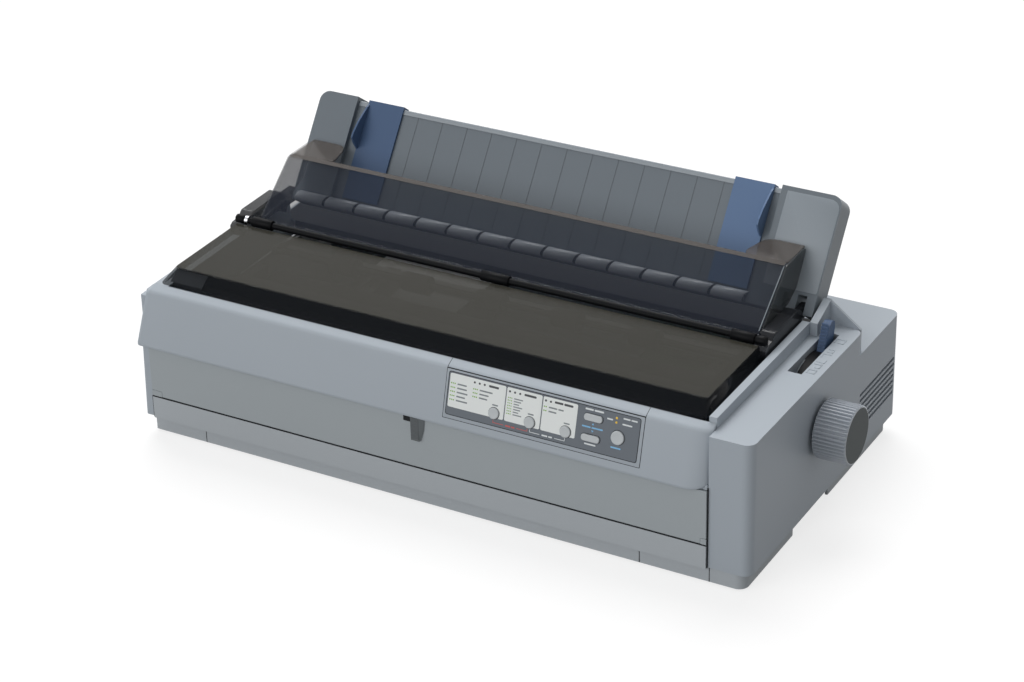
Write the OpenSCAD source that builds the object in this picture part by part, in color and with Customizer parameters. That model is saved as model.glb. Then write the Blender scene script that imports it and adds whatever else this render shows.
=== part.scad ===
// Wide-carriage dot matrix printer with a smoked cover, a sheet guide and a control panel.
// X runs left to right, Y runs front to back, Z is up. The origin is the middle of the footprint.

/* [Case] */
// Width of the case without the feed knob
case_w = 605; // [560:1:640]
// Depth of the case from the front panel to the back
case_d = 316; // [300:1:340]
// Height of the side towers
tower_h = 138; // [134:0.5:139]
// Height of the rear deck
deck_h = 114; // [108:0.5:118]
// Height of the base tray
base_h = 34.5; // [32:0.5:40]
// Height of the recessed skirt under the base tray
skirt_h = 15; // [12:0.5:18]
// Inset of the skirt
skirt_in = 6; // [4:0.5:8]
// Wall thickness of the mouldings
wall = 2.5; // [2:0.1:3]
// Width of the narrow left tower
left_tower_w = 14.5; // [13.5:0.1:15.5]
// Width of the right tower
right_tower_w = 38.5; // [36:0.5:44]
// Depth of both towers
tower_d = 231; // [226:0.5:236]
// Radius of the upright corners
corner_r = 9; // [5:0.5:12]
// Gap at the seams between mouldings
seam = 0.4; // [0.3:0.1:0.8]
// Height of the rubber feet
foot_h = 4; // [3:0.5:6]

/* [Front lip and control panel] */
// Overhang of the lip in front of the front panel
lip_out = 5; // [3:0.5:8]
// Height of the bottom edge of the lip
lip_low = 90; // [86:0.5:96]
// Height of the top edge of the lip face
lip_high = 138.5; // [134:0.5:140]
// Setback of the top edge of the lip face from the front panel
lip_back = 8.5; // [6:0.5:11]
// Width of the control panel overlay
overlay_w = 180; // [170:1:190]
// Height of the control panel overlay along the lip face
overlay_h = 36.5; // [34:0.5:38]
// Diameter of the round buttons
button_d = 10; // [8:0.5:11]
// Travel of a button
button_travel = 1.2; // [0.6:0.1:1.4]

/* [Printer cover and hood] */
// Width of the printer cover at its rim
cover_w = 542; // [530:1:543]
// Height of the top plate of the printer cover
cover_top = 155; // [152:0.5:157]
// Thickness of the smoked mouldings
smoke_t = 2.2; // [1.8:0.1:2.6]
// Distance of the hood rod behind the front panel
rod_u = 138; // [134:0.5:142]
// Height of the hood rod
rod_h = 157; // [155.5:0.5:159]
// Height of the top of the hood
hood_h = 198; // [190:0.5:204]
// Lean of the sheet guide from upright
guide_lean = 36; // [34:1:38]
// Length of the sheet guide up its slope
guide_len = 108; // [96:1:116]
// Thickness of the sheet guide
guide_t = 24; // [21:0.5:26]

/* [Paper feed] */
// Radius of the platen roller
platen_r = 21; // [19:0.5:22]
// Radius of the platen shaft
shaft_r = 6; // [5:0.5:7]
// Radius of the feed knob
knob_r = 26.5; // [25:0.5:31]
// Length of the feed knob
knob_len = 31; // [27:0.5:35]
// Module of the feed gears
gear_m = 1; // [0.9:0.05:1.1]
// Radial clearance of a shaft in its bore
fit = 0.05; // [0.02:0.01:0.1]
// Radius of the tension rollers
tension_r = 9; // [7:0.5:10]

/* [Carriage] */
// Radius of the carriage shaft
rail_r = 5; // [4:0.5:6]
// Width of the carriage
carriage_w = 44; // [38:1:48]
// Radius of the belt pulleys
pulley_r = 6; // [5:0.5:7]

/* [Hidden] */
$fn = 48;

eps = 0.01;
knob_gap = 3;
total_w = case_w + knob_gap + knob_len;
total_d = case_d + lip_out;
left_x = -total_w / 2;
right_x = left_x + case_w;
front_y = -total_d / 2 + lip_out;
left_in = left_x + left_tower_w;
right_in = right_x - right_tower_w;
mid_x = (left_in + right_in) / 2;

// Lip face: a frame with X along the face, Y into it and Z up its slope.
face_lean = atan((lip_back + lip_out) / (lip_high - lip_low));
lip_seat_u = lip_back + 9;
lip_seat_z = lip_high + 4;
lip_under = 12;
overlay_x = right_in - 244;
overlay_low = 10;
bezel_side = 3;
label_t = 0.4;
overlay_t = 1;
button_low = overlay_low + 10.3;
board_in = 12;

// Printer cover
cover_x0 = left_x + left_tower_w + 1.5;
cover_x1 = cover_x0 + cover_w;
cover_front = lip_seat_u + 0.5;
bevel_back = 15;
bevel_side = 7;
arm_w = 12.5;
hinge_u = 208;
hinge_z = 140;
hinge_r = 3;
rod_r = 3;
knuckle_r = 5.5;
rail_gap = 1.5;
rim_z = lip_seat_z + seam;
rail_top = rim_z + 4.6;
rail_rear = 203;
fin_top = rail_top + 10;

// Hood
hood_x0 = cover_x0 + 20.5;
hood_x1 = cover_x1 - arm_w - 0.6;
hood_low_u = rod_u + 10;
hood_top_u = 201;
ear_back = 243;
ear_w = 46;

// Sheet guide: a frame with X across, Y through its thickness and Z up its slope.
guide_u = 211;
guide_z = 148;
guide_x0 = left_x + 30.5;
guide_x1 = right_in - 2;
left_ear_w = 40;
right_ear_w = 58;
pivot_t = 8;
pivot_o = 12;
guide_recess = 5;
edge_w = 38;
pivot_u = guide_u + pivot_t * sin(guide_lean) + pivot_o * cos(guide_lean);
pivot_z = guide_z + pivot_t * cos(guide_lean) - pivot_o * sin(guide_lean);

// Mechanism
frame_t = 2;
frame_x0 = left_x + 49.5;
frame_x1 = right_in - 31;
frame_h = 125;
frame_u0 = 60;
frame_u1 = 245;
platen_u = 141;
platen_z = 86;
bush_r = 10;
bush_flange = 3;
head_u = 95;
head_z = 62;
home_x = frame_x0 + 40;
belt_z = 44;
belt_h = 6;
belt_t = 1;
belt_gap = 0.2;
belt_u = head_u + 5;
pulley_x0 = frame_x0 + 12;
pulley_x1 = frame_x1 - 22;
plate_u = 64;
gear_w = 6;
gear_gap = 2;
gear_x = frame_x0 - frame_t - gear_gap - gear_w;
platen_teeth = 64;
idler_teeth = 32;
pinion_teeth = 16;
idler_angle = -50;
pinion_angle = -30;
tractor_angle = 40;
idler_dist = gear_m * (platen_teeth + idler_teeth) / 2;
pinion_dist = gear_m * (pinion_teeth + idler_teeth) / 2;
tractor_dist = gear_m * idler_teeth;
idler_u = platen_u + idler_dist * cos(idler_angle);
idler_z = platen_z + idler_dist * sin(idler_angle);
pinion_u = idler_u + pinion_dist * cos(pinion_angle);
pinion_z = idler_z + pinion_dist * sin(pinion_angle);
tractor_u = idler_u + tractor_dist * cos(tractor_angle);
tractor_z = idler_z + tractor_dist * sin(tractor_angle);
tension_u = 150;
tension_z = 126;
tension_pivot_u = 186;
tension_pivot_z = 119;
lever_u = 174;
lever_z = 70;
lever_tilt = 22;
lever_x = right_x - 25.5;
lever_t = 7;
slot_u0 = 134;
slot_u1 = 214;
floor_top = skirt_h;
lift = 5;

// Everything is drawn from the front panel plane, with the feet below zero, and moved by this.
module placed() {
    translate([0, front_y, lift]) children();
}

module box(x0, x1, u0, u1, z0, z1) {
    translate([x0, u0, z0]) cube([x1 - x0, u1 - u0, z1 - z0]);
}

module rod_x(x0, x1, u, z, r) {
    translate([x0, u, z]) rotate([0, 90, 0]) cylinder(h = x1 - x0, r = r);
}

// A side profile in (u, z), drawn out along X.
module along_x(x0, x1, points) {
    translate([x0, 0, 0]) rotate([90, 0, 90]) linear_extrude(x1 - x0) polygon(points);
}

module rounded_plan(x0, x1, u0, u1, r, z0, z1) {
    translate([0, 0, z0]) linear_extrude(z1 - z0) {
        translate([x0, u0 + r]) square([x1 - x0, u1 - u0 - 2 * r]);
        translate([x0 + r, u0]) square([x1 - x0 - 2 * r, u1 - u0]);
        for (x = [x0 + r, x1 - r], u = [u0 + r, u1 - r]) translate([x, u]) circle(r);
    }
}

module on_face() {
    translate([0, -lip_out, lip_low]) rotate([-face_lean, 0, 0]) children();
}

module on_guide() {
    translate([0, guide_u, guide_z]) rotate([-guide_lean, 0, 0]) children();
}

module gear(teeth, bore, start) {
    pitch_r = gear_m * teeth / 2;
    step = 360 / teeth;
    outline = [for (i = [0 : teeth - 1], k = [[-0.3, -1.2], [-0.13, 0.85], [0.13, 0.85], [0.3, -1.2]])
        let (a = start + (i + k[0]) * step, r = pitch_r + k[1] * gear_m) [r * cos(a), r * sin(a)]];
    difference() {
        translate([gear_x, 0, 0]) rotate([90, 0, 90]) linear_extrude(gear_w) polygon(outline);
        rod_x(gear_x - 1, gear_x + gear_w + 1, 0, 0, bore);
    }
}

// Start angle of a gear's first tooth, so that it meshes with a gear whose teeth start at `start`.
function mesh_start(angle, start, from, to) =
    let (turn = (angle - start) / from) angle + 180 + (turn - floor(turn) + 0.5) * to;

platen_step = 360 / platen_teeth;
idler_step = 360 / idler_teeth;
pinion_step = 360 / pinion_teeth;
idler_start = mesh_start(idler_angle, idler_angle, platen_step, idler_step);
pinion_start = mesh_start(pinion_angle, idler_start, idler_step, pinion_step);
tractor_start = mesh_start(tractor_angle, idler_start, idler_step, idler_step);

// ---- Housing ----

tower_front = 3;
skirt_low = 2 - lift;
grip_u0 = 103;
grip_u1 = 177;
panel_x0 = left_x + 9;
panel_x1 = right_in - seam;
hinge_x0 = left_in + seam;
cover_pin_u = wall;
cover_pin_z = base_h + 4;
cover_pin_r = 1.2;
lug_w = 4;
foot_r = 8;
foot_in = 34;
screw_r = 1.6;
screw_head_r = 4;
screw_head_h = 2;
screw_len = 12;
screw_boss_r = 4.2;
boss_h = 18;
stud_r = 4;
board_z = floor_top + 7;
board_x0 = mid_x + 70;
board_x1 = mid_x + 228;
board_u0 = case_d - 108;
board_u1 = case_d - 8;

function foot_places() = [for (x = [left_x + foot_in, right_x - foot_in], u = [foot_in, case_d - foot_in]) [x, u]];
function screw_places() = [for (x = [left_in + 1, right_in - 1], u = [tower_front + 12, case_d - 14]) [x, u]];
function board_posts() = [for (x = [board_x0 + 6, board_x1 - 6], u = [board_u0 + 6, board_u1 - 6]) [x, u]];

module base_tray() placed() color([0.58, 0.61, 0.63]) {
    difference() {
        union() {
            // Floor inside the case walls, and forward to the front wall between the towers
            rounded_plan(left_x + wall + seam, right_x - wall - seam, tower_front + wall + seam,
                case_d - wall - seam, corner_r - wall, skirt_h - wall, floor_top);
            box(hinge_x0, panel_x1, 0, 2 * corner_r, skirt_h - wall, floor_top);
            // Skirt ring under the floor
            difference() {
                rounded_plan(left_x + skirt_in, right_x - skirt_in, skirt_in, case_d - skirt_in, corner_r,
                    skirt_low, skirt_h - wall / 2);
                rounded_plan(left_x + skirt_in + wall, right_x - skirt_in - wall, skirt_in + wall,
                    case_d - skirt_in - wall, corner_r - wall, skirt_low - 1, skirt_h - wall);
                box(left_x - 1, right_x + 1, grip_u0, grip_u1, skirt_low - 1, skirt_h - wall);
            }
            // Front wall between the towers
            box(panel_x0 + seam, panel_x1, 0, wall, skirt_h - wall, base_h);
            // Foot bosses
            for (p = foot_places()) translate([p[0], p[1], foot_h - lift])
                cylinder(h = skirt_h - foot_h + lift, r = foot_r + 2);
            // Board posts
            for (p = board_posts()) translate([p[0], p[1], floor_top - 1]) cylinder(h = board_z - floor_top + 1, r = 3);
            // Hinge lugs of the front cover
            for (x = [hinge_x0, panel_x1 - lug_w])
                box(x, x + lug_w, wall / 5, wall * 2.4, base_h - 3, cover_pin_z + 1.5 * cover_pin_r);
            // Stud of the belt idler
            translate([pulley_x0, belt_u, floor_top - 1])
                cylinder(h = belt_z + belt_h + 1.5 - floor_top, r = 3);
            // Flange that carries the stud and keeps the pulley up
            translate([pulley_x0, belt_u, floor_top - 1])
                cylinder(h = belt_z - 1.3 - floor_top + 1, r = 5);
        }
        rod_x(hinge_x0 - 1, hinge_x0 + lug_w + 1, cover_pin_u, cover_pin_z, cover_pin_r + fit);
        rod_x(panel_x1 - lug_w - 1, panel_x1 + 1, cover_pin_u, cover_pin_z, cover_pin_r + fit);
        for (p = screw_places()) translate([p[0], p[1], 0]) cylinder(h = skirt_h + 1, r = screw_r + 0.3);
    }
}

module rubber_feet() placed() color([0.12, 0.12, 0.13])
    for (p = foot_places()) translate([p[0], p[1], -lift]) cylinder(h = foot_h, r = foot_r);

module case_screws() placed() color([0.55, 0.56, 0.58])
    for (p = screw_places()) translate([p[0], p[1], skirt_h - wall]) {
        translate([0, 0, -screw_head_h]) cylinder(h = screw_head_h, r = screw_head_r);
        cylinder(h = screw_len, r = screw_r);
    }

case_low = skirt_h + seam;
shell_low = skirt_h - wall + seam;
left_top = tower_h - 4;
tower_fall = 3;
slot_side = 3;
vent_n = 7;
vent_h = 3;
vent_u0 = tower_d - 3;
vent_u1 = case_d - 10;
vent_low = 36;
vent_pitch = 5.7;
flange_low = 100;
knob_hole_r = shaft_r + 3;
inlet_x = mid_x + 230;
inlet_w = 28;
inlet_h = 22;
inlet_z = floor_top + 16;
inlet_d = 26;
port_z = board_z + 1.6;
port_h = 14;
port_d = 16;
parallel_x = board_x0 + 20;
parallel_w = 58;
usb_x = board_x0 + 96;
usb_w = 13;
slot_z0 = 78;
slot_z1 = 102;
ear_x = right_in + 7;
left_ear_x = left_in - 5;
switch_u0 = 43.6;
switch_u1 = 58.4;
switch_z = 78;
switch_x = left_x + 5.5;
switch_half = 10.5;
switch_pin_r = 1.5;
bracket_t = 2;

module case_solid(inset, rise) {
    intersection() {
        rounded_plan(left_x + inset, right_x - inset, tower_front + inset, case_d - inset, corner_r - inset,
            shell_low - rise, fin_top + 10);
        union() {
            along_x(left_x - 1, left_in - inset, [[0, 0], [0, left_top - inset], [tower_d - inset, left_top - inset],
                [tower_d - inset, 0]]);
            along_x(right_in + inset, right_x + 1, [[0, 0], [0, tower_h - inset],
                [tower_d - inset, tower_h - tower_fall - inset], [tower_d - inset, 0]]);
            box(left_x - 1, right_x + 1, tower_d - inset * 2, case_d, 0, deck_h - inset);
        }
    }
}

module upper_case() placed() color([0.66, 0.69, 0.72]) {
    difference() {
        union() {
            difference() {
                case_solid(0, 0);
                case_solid(wall, 5);
                // Open inner sides of the towers
                box(left_in - wall - eps, right_in + wall + eps, tower_front + 20, tower_d - 4, 0, flange_low);
                // Room for the tray's floor inside the outer walls
                rounded_plan(left_x + wall - eps, right_x - wall + eps, tower_front + wall - eps,
                    case_d - wall + eps, corner_r - wall, 0, case_low);
                // Room for the lip on the left tower
                box(left_x - 1, left_in + 1, -1, lip_seat_u + seam, lip_low - seam, tower_h + 5);
                // Round rear corner of the right tower above the deck
                difference() {
                    box(right_x - corner_r, right_x + 1, tower_d - corner_r, tower_d + 1, deck_h, tower_h + 5);
                    translate([right_x - corner_r, tower_d - corner_r, 0]) cylinder(h = tower_h + 9, r = corner_r);
                }
            }
            // Fin across the back of the right tower
            translate([0, tower_d + wall, 0]) rotate([90, 0, 0]) linear_extrude(wall + eps)
                polygon([[right_in, deck_h - 1], [right_in, fin_top], [right_in + 6, fin_top],
                    [right_x - 3, tower_h - tower_fall], [right_x - 3, deck_h - 1]]);
            // Hinge ears
            along_x(right_in, ear_x, [[rail_rear, flange_low], [rail_rear, rail_top],
                [tower_d, fin_top], [tower_d + wall, fin_top], [tower_d + wall, deck_h - 1], [tower_d, flange_low]]);
            along_x(left_ear_x, left_in, [[hinge_u - 12, left_top - 10], [hinge_u - 12, hinge_z + 2],
                [hinge_u - 5, hinge_z + 9], [hinge_u + 5, hinge_z + 9], [hinge_u + 12, hinge_z + 2],
                [hinge_u + 12, left_top - 10]]);
            // Screw bosses
            for (p = screw_places()) translate([p[0], p[1], case_low]) cylinder(h = boss_h, r = screw_boss_r);
            for (x = [left_in + 1, right_in - 1])
                box(x - wall / 2, x + wall / 2, case_d - 14, case_d - wall + eps, case_low, case_low + boss_h);
            // Brackets of the power switch
            for (u = [switch_u0 - bracket_t - 0.4, switch_u1 + 0.4])
                box(left_x + 1, left_in - 1, u, u + bracket_t, switch_z - 14, switch_z + 14);
        }
        // Lever slot
        box(lever_x - slot_side, lever_x + lever_t + slot_side, slot_u0, slot_u1, tower_h - 15, tower_h + 5);
        // Knob shaft
        rod_x(right_in - 5, right_x + 1, platen_u, platen_z, knob_hole_r);
        // Side vents
        for (i = [0 : vent_n - 1])
            box(right_x - wall - 1, right_x + 1, vent_u0, vent_u1, vent_low + i * vent_pitch,
                vent_low + i * vent_pitch + vent_h);
        // Back openings
        box(inlet_x - seam, inlet_x + inlet_w + seam, case_d - wall - 1, case_d + 1, inlet_z - seam,
            inlet_z + inlet_h + seam);
        box(parallel_x - seam, parallel_x + parallel_w + seam, case_d - wall - 1, case_d + 1, port_z - seam,
            port_z + port_h + seam);
        box(usb_x - seam, usb_x + usb_w + seam, case_d - wall - 1, case_d + 1, port_z - seam,
            port_z + port_h + seam);
        box(frame_x0 + 4, frame_x1 - 4, case_d - wall - 1, case_d + 1, slot_z0, slot_z1);
        // Hinge bores
        rod_x(right_in - 1, right_in + 6.5, hinge_u, hinge_z, hinge_r + fit);
        rod_x(left_in - 4.5, left_in + 1, hinge_u, hinge_z, hinge_r + fit);
        // Screw pilot holes
        for (p = screw_places()) translate([p[0], p[1], case_low - 1]) cylinder(h = screw_len + 2, r = screw_r + fit);
        // Power switch
        box(left_x - 1, left_x + wall + eps, switch_u0 - 0.4, switch_u1 + 0.4, switch_z - switch_half - 1,
            switch_z + switch_half + 1);
        translate([switch_x, 0, switch_z]) rotate([-90, 0, 0]) translate([0, 0, switch_u0 - bracket_t - 1])
            cylinder(h = switch_u1 - switch_u0 + 2 * bracket_t + 2, r = switch_pin_r + fit);
    }
}

// Rail beside the printer cover, on the tower's inner wall
module cover_rail() placed() color([0.66, 0.69, 0.72])
    box(cover_x1 + rail_gap, right_in, lip_seat_u + seam, rail_rear, flange_low, rail_top);

module power_switch() placed() color([0.10, 0.10, 0.11]) {
    translate([switch_x, 0, switch_z]) {
        translate([0, switch_u1, 0]) rotate([90, 0, 0]) linear_extrude(switch_u1 - switch_u0)
            polygon([[-3.57, -switch_half], [-3.2, 0], [-0.6, switch_half], [3, switch_half - 1.5],
                [3, 1 - switch_half]]);
        rotate([-90, 0, 0]) translate([0, 0, switch_u0 - bracket_t]) cylinder(h = switch_u1 - switch_u0
            + 2 * bracket_t, r = switch_pin_r);
    }
}

// ---- Front lip and control panel ----

bezel_x0 = overlay_x - bezel_side;
bezel_x1 = overlay_x + overlay_w + bezel_side;
bezel_low = overlay_low - 4;
bezel_high = overlay_low + overlay_h + 2.5;
pill_w = 17;
pill_h = 6;
pause_r = button_d / 2 + 1;
button_out = 2;
button_in = 8.3;
hole_gap = 0.3;

function round_buttons() = [[overlay_x + 45.5, button_low, button_d / 2], [overlay_x + 79.7, button_low, button_d / 2],
    [overlay_x + 113.7, button_low, button_d / 2], [overlay_x + 161.8, button_low + 6.3, pause_r]];
function pill_buttons() = [[overlay_x + 138, button_low + 17.7], [overlay_x + 137.3, button_low]];

module pill(w, h, depth) {
    rotate([-90, 0, 0]) linear_extrude(depth) {
        square([w - h, h], center = true);
        for (x = [-(w - h) / 2, (w - h) / 2]) translate([x, 0]) circle(h / 2);
    }
}

module button_holes() {
    for (b = round_buttons()) translate([b[0], -1, b[1]]) rotate([-90, 0, 0]) cylinder(h = 9, r = b[2] + hole_gap);
    for (b = pill_buttons()) translate([b[0], -1, b[1]]) pill(pill_w + 2 * hole_gap, pill_h + 2 * hole_gap, 9);
}

function lip_skin() = [[-lip_out, lip_low], [lip_back, lip_high], [lip_seat_u, lip_seat_z],
    [lip_seat_u, lip_seat_z - 1.1 * wall], [lip_back + 0.8 * wall, lip_high - 0.8 * wall],
    [-lip_out + 1.3 * wall, lip_low + wall], [lip_under, lip_low + wall], [lip_under, lip_low]];
function lip_end() = [[-lip_out, lip_low], [lip_back, lip_high], [lip_seat_u, lip_seat_z],
    [lip_seat_u, lip_low + wall], [lip_under, lip_low]];

module front_lip() placed() color([0.60, 0.63, 0.67]) {
    difference() {
        union() {
            along_x(left_x, panel_x1, lip_skin());
            along_x(left_x, left_x + wall, lip_end());
            along_x(panel_x1 - wall, panel_x1, lip_end());
        }
        on_face() box(bezel_x0, bezel_x1, -1, wall + 1, bezel_low, bezel_high);
    }
}

module control_bezel() placed() color([0.62, 0.65, 0.69]) on_face() {
    difference() {
        union() {
            box(bezel_x0 + seam, bezel_x1 - seam, 0, wall, bezel_low + seam, bezel_high - seam);
            for (x = [bezel_x0 + 5, bezel_x1 - 5], z = [bezel_low + 5, bezel_high - 8])
                translate([x, wall - eps, z]) rotate([-90, 0, 0]) cylinder(h = board_in - wall + eps, r = 2);
        }
        box(overlay_x - 0.2, overlay_x + overlay_w + 0.2, -1, overlay_t, overlay_low - 0.2,
            overlay_low + overlay_h + 0.2);
        button_holes();
    }
}

module control_overlay() placed() color([0.29, 0.33, 0.37]) on_face() difference() {
    box(overlay_x, overlay_x + overlay_w, 0.2, overlay_t, overlay_low, overlay_low + overlay_h);
    button_holes();
}

label_low = button_low + 0.2;
label_high = overlay_low + overlay_h - 0.8;
function labels() = [[0.6, 54.6], [55.6, 89.2], [90.2, 122.6]];

module label_panels() placed() color([0.90, 0.92, 0.92]) on_face() difference() {
    for (w = labels()) box(overlay_x + w[0], overlay_x + w[1], 0.2 - label_t, 0.2, label_low, label_high);
    button_holes();
}

led_r = 1;
led_out = 0.5;
led_step = 4.8;
led_starts = [23.8, 2.7, 2.4];
led_counts = [3, 3, 2];
lamp_x = 157.5;
lamp_w = 3;
module indicator_leds() placed() color([0.90, 0.70, 0.15]) on_face() {
    for (k = [0 : 2], i = [0 : led_counts[k] - 1])
        translate([overlay_x + labels()[k][0] + led_starts[k] + led_step * i, 0.2 - label_t - led_out,
            label_high - 3.2]) rotate([-90, 0, 0]) cylinder(h = led_out, r = led_r);
    for (z = [label_high - 3, label_high - 7])
        box(overlay_x + lamp_x, overlay_x + lamp_x + lamp_w, 0.2 - led_out, 0.2, z - 0.8, z + 0.8);
}

module control_board() placed() color([0.13, 0.38, 0.22]) on_face() {
    box(bezel_x0 + 2, bezel_x1 - 2, board_in, board_in + 1.6, bezel_low + 1, bezel_high - 4);
    for (b = concat(round_buttons(), pill_buttons()))
        box(b[0] - 3, b[0] + 3, button_in + button_travel + 0.5, board_in, b[1] - 3, b[1] + 3);
}

module round_button(b) placed() color([0.70, 0.72, 0.74]) on_face() translate([b[0], 0, b[1]]) rotate([-90, 0, 0]) {
    translate([0, 0, -button_out]) cylinder(h = button_out + button_in, r = b[2]);
    translate([0, 0, wall + hole_gap]) cylinder(h = 1.5, r = b[2] + 1.2);
}

module pill_button(b) placed() color([0.70, 0.72, 0.74]) on_face() translate([b[0], -button_out, b[1]]) {
    pill(pill_w, pill_h, button_out + button_in);
    translate([0, button_out + wall + hole_gap, 0]) pill(pill_w + 2.4, pill_h + 2.4, 1.5);
}

module button_font() round_button(round_buttons()[0]);
module button_pitch() round_button(round_buttons()[1]);
module button_tear_off() round_button(round_buttons()[2]);
module button_load() pill_button(pill_buttons()[0]);
module button_line_feed() pill_button(pill_buttons()[1]);
module button_pause() round_button(round_buttons()[3]);

// ---- Front cover ----

latch_x0 = mid_x - 10;
latch_w = 15;
latch_low = 61;
latch_high = lip_low - 1.4;
latch_out = lip_out - 0.2;
latch_travel = 4;
latch_stem_z = 74;
latch_stem_h = 6;
cover_high = lip_low - 1.5 * seam;

module front_cover() placed() color([0.55, 0.58, 0.60]) {
    difference() {
        union() {
            box(panel_x0 + seam, panel_x1, 0, wall, cover_pin_z + 3, cover_high);
            box(hinge_x0 + lug_w + 1, panel_x1 - lug_w - 1, 0, wall, cover_pin_z, cover_pin_z + 4);
            rod_x(hinge_x0 + lug_w + 0.5, panel_x1 - lug_w - 0.5, cover_pin_u, cover_pin_z, wall);
            rod_x(hinge_x0 + 0.5, hinge_x0 + lug_w + 1.6, cover_pin_u, cover_pin_z, cover_pin_r);
            rod_x(panel_x1 - lug_w - 2, panel_x1 - 0.5, cover_pin_u, cover_pin_z, cover_pin_r);
        }
        box(latch_x0 + 5, latch_x0 + latch_w - 5, -1, wall + 1, latch_stem_z - latch_travel - 0.8,
            latch_stem_z + latch_stem_h + 0.8);
    }
}

module front_latch() placed() color([0.45, 0.48, 0.50]) {
    along_x(latch_x0, latch_x0 + latch_w, [[-hole_gap, latch_low + 5], [-hole_gap, latch_high],
        [-latch_out, latch_high], [-latch_out, latch_low + 8], [-latch_out + 2, latch_low]]);
    box(latch_x0 + 5.4, latch_x0 + latch_w - 5.4, -hole_gap - eps, wall + 1.5, latch_stem_z,
        latch_stem_z + latch_stem_h);
    box(latch_x0 + 2, latch_x0 + latch_w - 2, wall + hole_gap, wall + 1.8, latch_stem_z + 1,
        latch_stem_z + latch_stem_h - 1);
}

// ---- Mechanism ----

tractor_rail_u = 236;
tractor_rail_z = 72;
tractor_rail_r = 3;
tractor_shaft_r = 4;
motor_shaft_r = 2.5;
tension_pin_r = 3;
thick_u = 98;
thick_z = 106;
thick_pin_r = 2.5;

module frame_plate(x0) {
    difference() {
        along_x(x0, x0 + frame_t, [[frame_u0, floor_top], [frame_u1, floor_top],
            [frame_u1, tractor_rail_z + 18], [tension_pivot_u + 6, frame_h], [frame_u0, frame_h]]);
        rod_x(x0 - 1, x0 + frame_t + 1, platen_u, platen_z, bush_r + fit);
        rod_x(x0 - 1, x0 + frame_t + 1, head_u, head_z, rail_r + fit);
        rod_x(x0 - 1, x0 + frame_t + 1, tension_pivot_u, tension_pivot_z, tension_pin_r + fit);
        rod_x(x0 - 1, x0 + frame_t + 1, tractor_u, tractor_z, tractor_shaft_r + fit);
        rod_x(x0 - 1, x0 + frame_t + 1, tractor_rail_u, tractor_rail_z, tractor_rail_r + fit);
    }
}

module left_side_frame() placed() color([0.72, 0.73, 0.74]) {
    difference() {
        frame_plate(frame_x0 - frame_t);
        rod_x(frame_x0 - frame_t - 1, frame_x0 + 1, pinion_u, pinion_z, motor_shaft_r + 3);
    }
    rod_x(gear_x - 1, frame_x0 - frame_t / 2, idler_u, idler_z, stud_r);
}

module right_side_frame() placed() color([0.72, 0.73, 0.74]) {
    frame_plate(frame_x1);
    rod_x(frame_x1 + frame_t / 2, lever_x + lever_t + 2, lever_u, lever_z, hinge_r);
    rod_x(frame_x1 + frame_t / 2, frame_x1 + frame_t + 6, thick_u, thick_z, thick_pin_r);
}

module platen_bushings() placed() color([0.80, 0.68, 0.38])
    for (s = [0, 1]) {
        x = s == 0 ? frame_x0 : frame_x1;
        difference() {
            union() {
                rod_x(s == 0 ? x - frame_t : x, s == 0 ? x : x + frame_t, platen_u, platen_z, bush_r);
                rod_x(s == 0 ? x : x - bush_flange, s == 0 ? x + bush_flange : x, platen_u, platen_z, bush_r + 2);
            }
            rod_x(x - 10, x + 10, platen_u, platen_z, shaft_r + fit);
        }
    }

module carriage_shaft() placed() color([0.80, 0.81, 0.83])
    rod_x(frame_x0 - frame_t - 2, frame_x1 + frame_t + 2, head_u, head_z, rail_r);

module guide_rail() placed() color([0.70, 0.71, 0.73])
    box(frame_x0, frame_x1, plate_u, plate_u + 2, 53, 73);

module tractor_rail() placed() color([0.80, 0.81, 0.83])
    rod_x(frame_x0 - frame_t - 1, frame_x1 + frame_t + 1, tractor_rail_u, tractor_rail_z, tractor_rail_r);

pan_gap = 2.5;
pan_cut = 2 * platen_r;
module paper_pan() placed() color([0.25, 0.26, 0.28])
    translate([frame_x0, platen_u, platen_z]) rotate([90, 0, 90])
        linear_extrude(frame_x1 - frame_x0) difference() {
            circle(platen_r + pan_gap + 1.5);
            circle(platen_r + pan_gap);
            // Open above a slope on each side
            polygon([[0, 0], [-pan_cut, -pan_cut / 2], [-pan_cut, pan_cut], [pan_cut, pan_cut],
                [pan_cut, -pan_cut / 2]]);
        }

module main_board() placed() color([0.12, 0.36, 0.20]) {
    box(board_x0, board_x1, board_u0, board_u1, board_z, board_z + 1.6);
    box(board_x0 + 30, board_x0 + 58, board_u0 + 30, board_u0 + 58, board_z + 1.6, board_z + 4.6);
    box(board_x0 + 90, board_x0 + 104, board_u0 + 20, board_u0 + 55, board_z + 1.6, board_z + 6);
}

module power_supply() placed() color([0.70, 0.71, 0.72])
    box(supply_x, supply_x + supply_w, pinion_u + feed_motor_half + supply_gap, case_d - 4 * wall, floor_top,
        floor_top + supply_h);

module power_inlet() placed() color([0.10, 0.10, 0.11]) {
    difference() {
        box(inlet_x, inlet_x + inlet_w, case_d - inlet_d, case_d - 0.5, inlet_z, inlet_z + inlet_h);
        box(inlet_x + 2.5, inlet_x + inlet_w - 2.5, case_d - inlet_d + 5, case_d, inlet_z + 3, inlet_z + inlet_h - 3);
    }
    for (x = [-7, 0, 7])
        box(inlet_x + inlet_w / 2 + x - 1, inlet_x + inlet_w / 2 + x + 1, case_d - inlet_d + 4, case_d - 6,
            inlet_z + inlet_h / 2 - 2, inlet_z + inlet_h / 2 + 2);
    box(inlet_x + 4, inlet_x + inlet_w - 4, case_d - inlet_d, case_d - inlet_d + 4, floor_top, inlet_z);
}

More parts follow.
